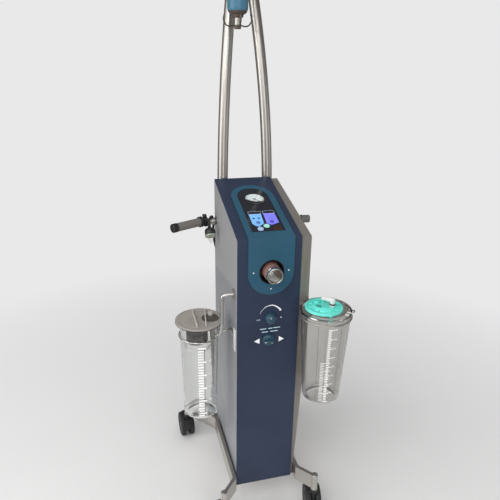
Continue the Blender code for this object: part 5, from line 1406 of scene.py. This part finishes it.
def bag_hooks():
    x, y = HANGER
    top = POD_BOTTOM - 0.008 - GAP
    foot = HOOK_Z - 0.0010
    stem = [(TINY, foot), (0.0106, foot), (0.0110, foot + 0.0006), (0.0110, top - 0.0010)]
    stem = round_piece([*stem, (0.0102, top), (TINY, top)], at(x, y, 0), 56)
    keep(stem, "hook_stem", "polished_steel", "bag_hooks", "bag_hooks")
    cap = [(TINY, -0.0120), (0.0096, -0.0120), (0.0108, -0.0108), (0.0110, -0.0060), (0.0113, -0.0050)]
    cap += [(0.0113, -0.0020), (0.0110, -0.0011), (TINY, -0.0011)]
    keep(round_piece(cap, at(x, y, HOOK_Z), 56), "hook_stem_cap", "brown_collar", "bag_hooks")
    run = [(0.006, 0.0), (0.014, -0.0022), (0.022, -0.004), (0.030, -0.0036), (0.0365, -0.0005)]
    run += [(0.0418, 0.0060), (0.0445, 0.0120), (HOOK_REACH, 0.018), (0.0442, 0.0240), (0.0422, 0.0292)]
    for i in range(4):
        a = radians(90 * i)
        path = smooth_path([(x + r * cos(a), y + r * sin(a), HOOK_Z + rise) for r, rise in run], 0.003)
        hook = bent_bar(path, 0.0022, HERE, 4)
        tip = path[-1] + MIDDLE
        let_go()
        bpy.ops.mesh.primitive_uv_sphere_add(segments=16, ring_count=10, radius=0.0026, location=tip)
        knob = settle(bpy.context.object)
        keep(joined(hook, knob), f"bag_hook_{i}", "dark_steel", "bag_hooks")


# ---------------------------------------------------------------- studio
def glow(strength, colour=(1, 1, 1)):
    return {"Color": (*colour, 1), "Strength": strength}


BACKDROP = (0.815, 0.813, 0.815)  # what the camera sees beyond the floor
MIRRORED = (0.150, 0.145, 0.145)  # what bright surfaces mirror of the unlit room


def room(made, pale, dark):
    """Pale for what the camera sees, straight or through something clear, else another shader."""
    rays = add(made, "ShaderNodeLightPath", {})
    seen = {0: rays.outputs["Is Camera Ray"], 1: rays.outputs["Is Transmission Ray"]}
    seen = add(made, "ShaderNodeMath", seen, operation="MAXIMUM").outputs[0]
    mix = add(made, "ShaderNodeMixShader", {0: rays.outputs["Is Glossy Ray"], 1: pale[1], 2: dark})
    mix = add(made, "ShaderNodeMixShader", {0: seen, 1: mix.outputs[0], 2: pale[0]})
    return mix.outputs[0]


def studio():
    world = bpy.data.worlds.new("pale_room")
    bpy.context.scene.world = world
    world.use_nodes = True
    tree = world.node_tree
    tree.nodes.clear()
    pale = add(world, "ShaderNodeBackground", glow(1.0, BACKDROP)).outputs[0]
    soft = add(world, "ShaderNodeBackground", glow(0.40)).outputs[0]
    dark = add(world, "ShaderNodeBackground", glow(1.0, MIRRORED)).outputs[0]
    add(world, "ShaderNodeOutputWorld", {"Surface": room(world, (pale, soft), dark)})

    floor = round_piece([(TINY, -0.002), (9.0, -0.002), (9.0, -0.001), (TINY, 0.0)], at(0, 0.15, 0), 96)
    floor.name = "studio_floor"
    made = finish("studio_floor", (0.88, 0.875, 0.87), 0.75)
    where = add(made, "ShaderNodeTexCoord", {})
    reach = add(made, "ShaderNodeVectorMath", {0: where.outputs["Object"]}, operation="LENGTH")
    far = spread(made, reach.outputs["Value"], 0.0, 1.0, 0.4, 2.2)
    shader = made.node_tree.nodes["Principled BSDF"].outputs[0]
    cloud = spread(made, grain(made, 3.0), 0.0, 1.0)
    into(made, "Base Color", tint(made, cloud, (0.87, 0.865, 0.86), (0.89, 0.885, 0.88)))
    pale = add(made, "ShaderNodeEmission", glow(1.0, BACKDROP)).outputs[0]
    dark = add(made, "ShaderNodeEmission", glow(1.0, MIRRORED)).outputs[0]
    away = room(made, (pale, shader), dark)
    mix = add(made, "ShaderNodeMixShader", {0: far, 1: shader, 2: away})
    made.node_tree.links.new(mix.outputs[0], made.node_tree.nodes["Material Output"].inputs["Surface"])
    floor.data.materials.append(made)

    lamp("left_softbox", (-2.5, -0.3, 1.6), (0, 0.2, 1.1), 1.5, 2.4, 30)
    lamp("front_strip", (0.15, -2.5, 1.7), (0, 0.3, 1.2), 0.8, 2.4, 16)
    lamp("key_softbox", (-1.5, -1.9, 2.9), (0, 0.1, 0.7), 1.6, 1.6, 38)
    lamp("top_softbox", (0.1, 0.6, 3.8), (0, 0.2, 0.5), 2.4, 2.4, 9)
    lamp("right_fill", (2.6, -0.9, 1.2), (0, 0.1, 0.8), 1.2, 1.2, 5)


def lamp(name, place, aim, width, height, power):
    data = bpy.data.lights.new(name, "AREA")
    data.shape, data.size, data.size_y, data.energy = "RECTANGLE", width, height, power
    made = bpy.data.objects.new(name, data)
    bpy.context.collection.objects.link(made)
    spot = MIDDLE + Vector(place)
    aimed = (MIDDLE + Vector(aim) - spot).to_track_quat("-Z", "Y").to_matrix().to_4x4()
    made.matrix_world = Matrix.Translation(spot) @ aimed


# ---------------------------------------------------------------- putting it together
make_finishes()
camera()
mains_cord(plug())
gland()
coil_tie()
kept_solids()
housing_screws()
rail_fittings()
casters()
post_clamps()
gauge()
press_button("mode_button", *MODE_BUTTON, "mint_button")
press_button("power_button", *POWER_BUTTON, "blue_button")
display_marks()
front_port()
regulator()
selector()
front_marks()
left_canister()
right_canister()
left_bracket()
right_bracket()
handle()
posts()
crown()
hanging_scale()
bag_hooks()
studio()
let_go()
bpy.context.scene.view_settings.view_transform = "Standard"
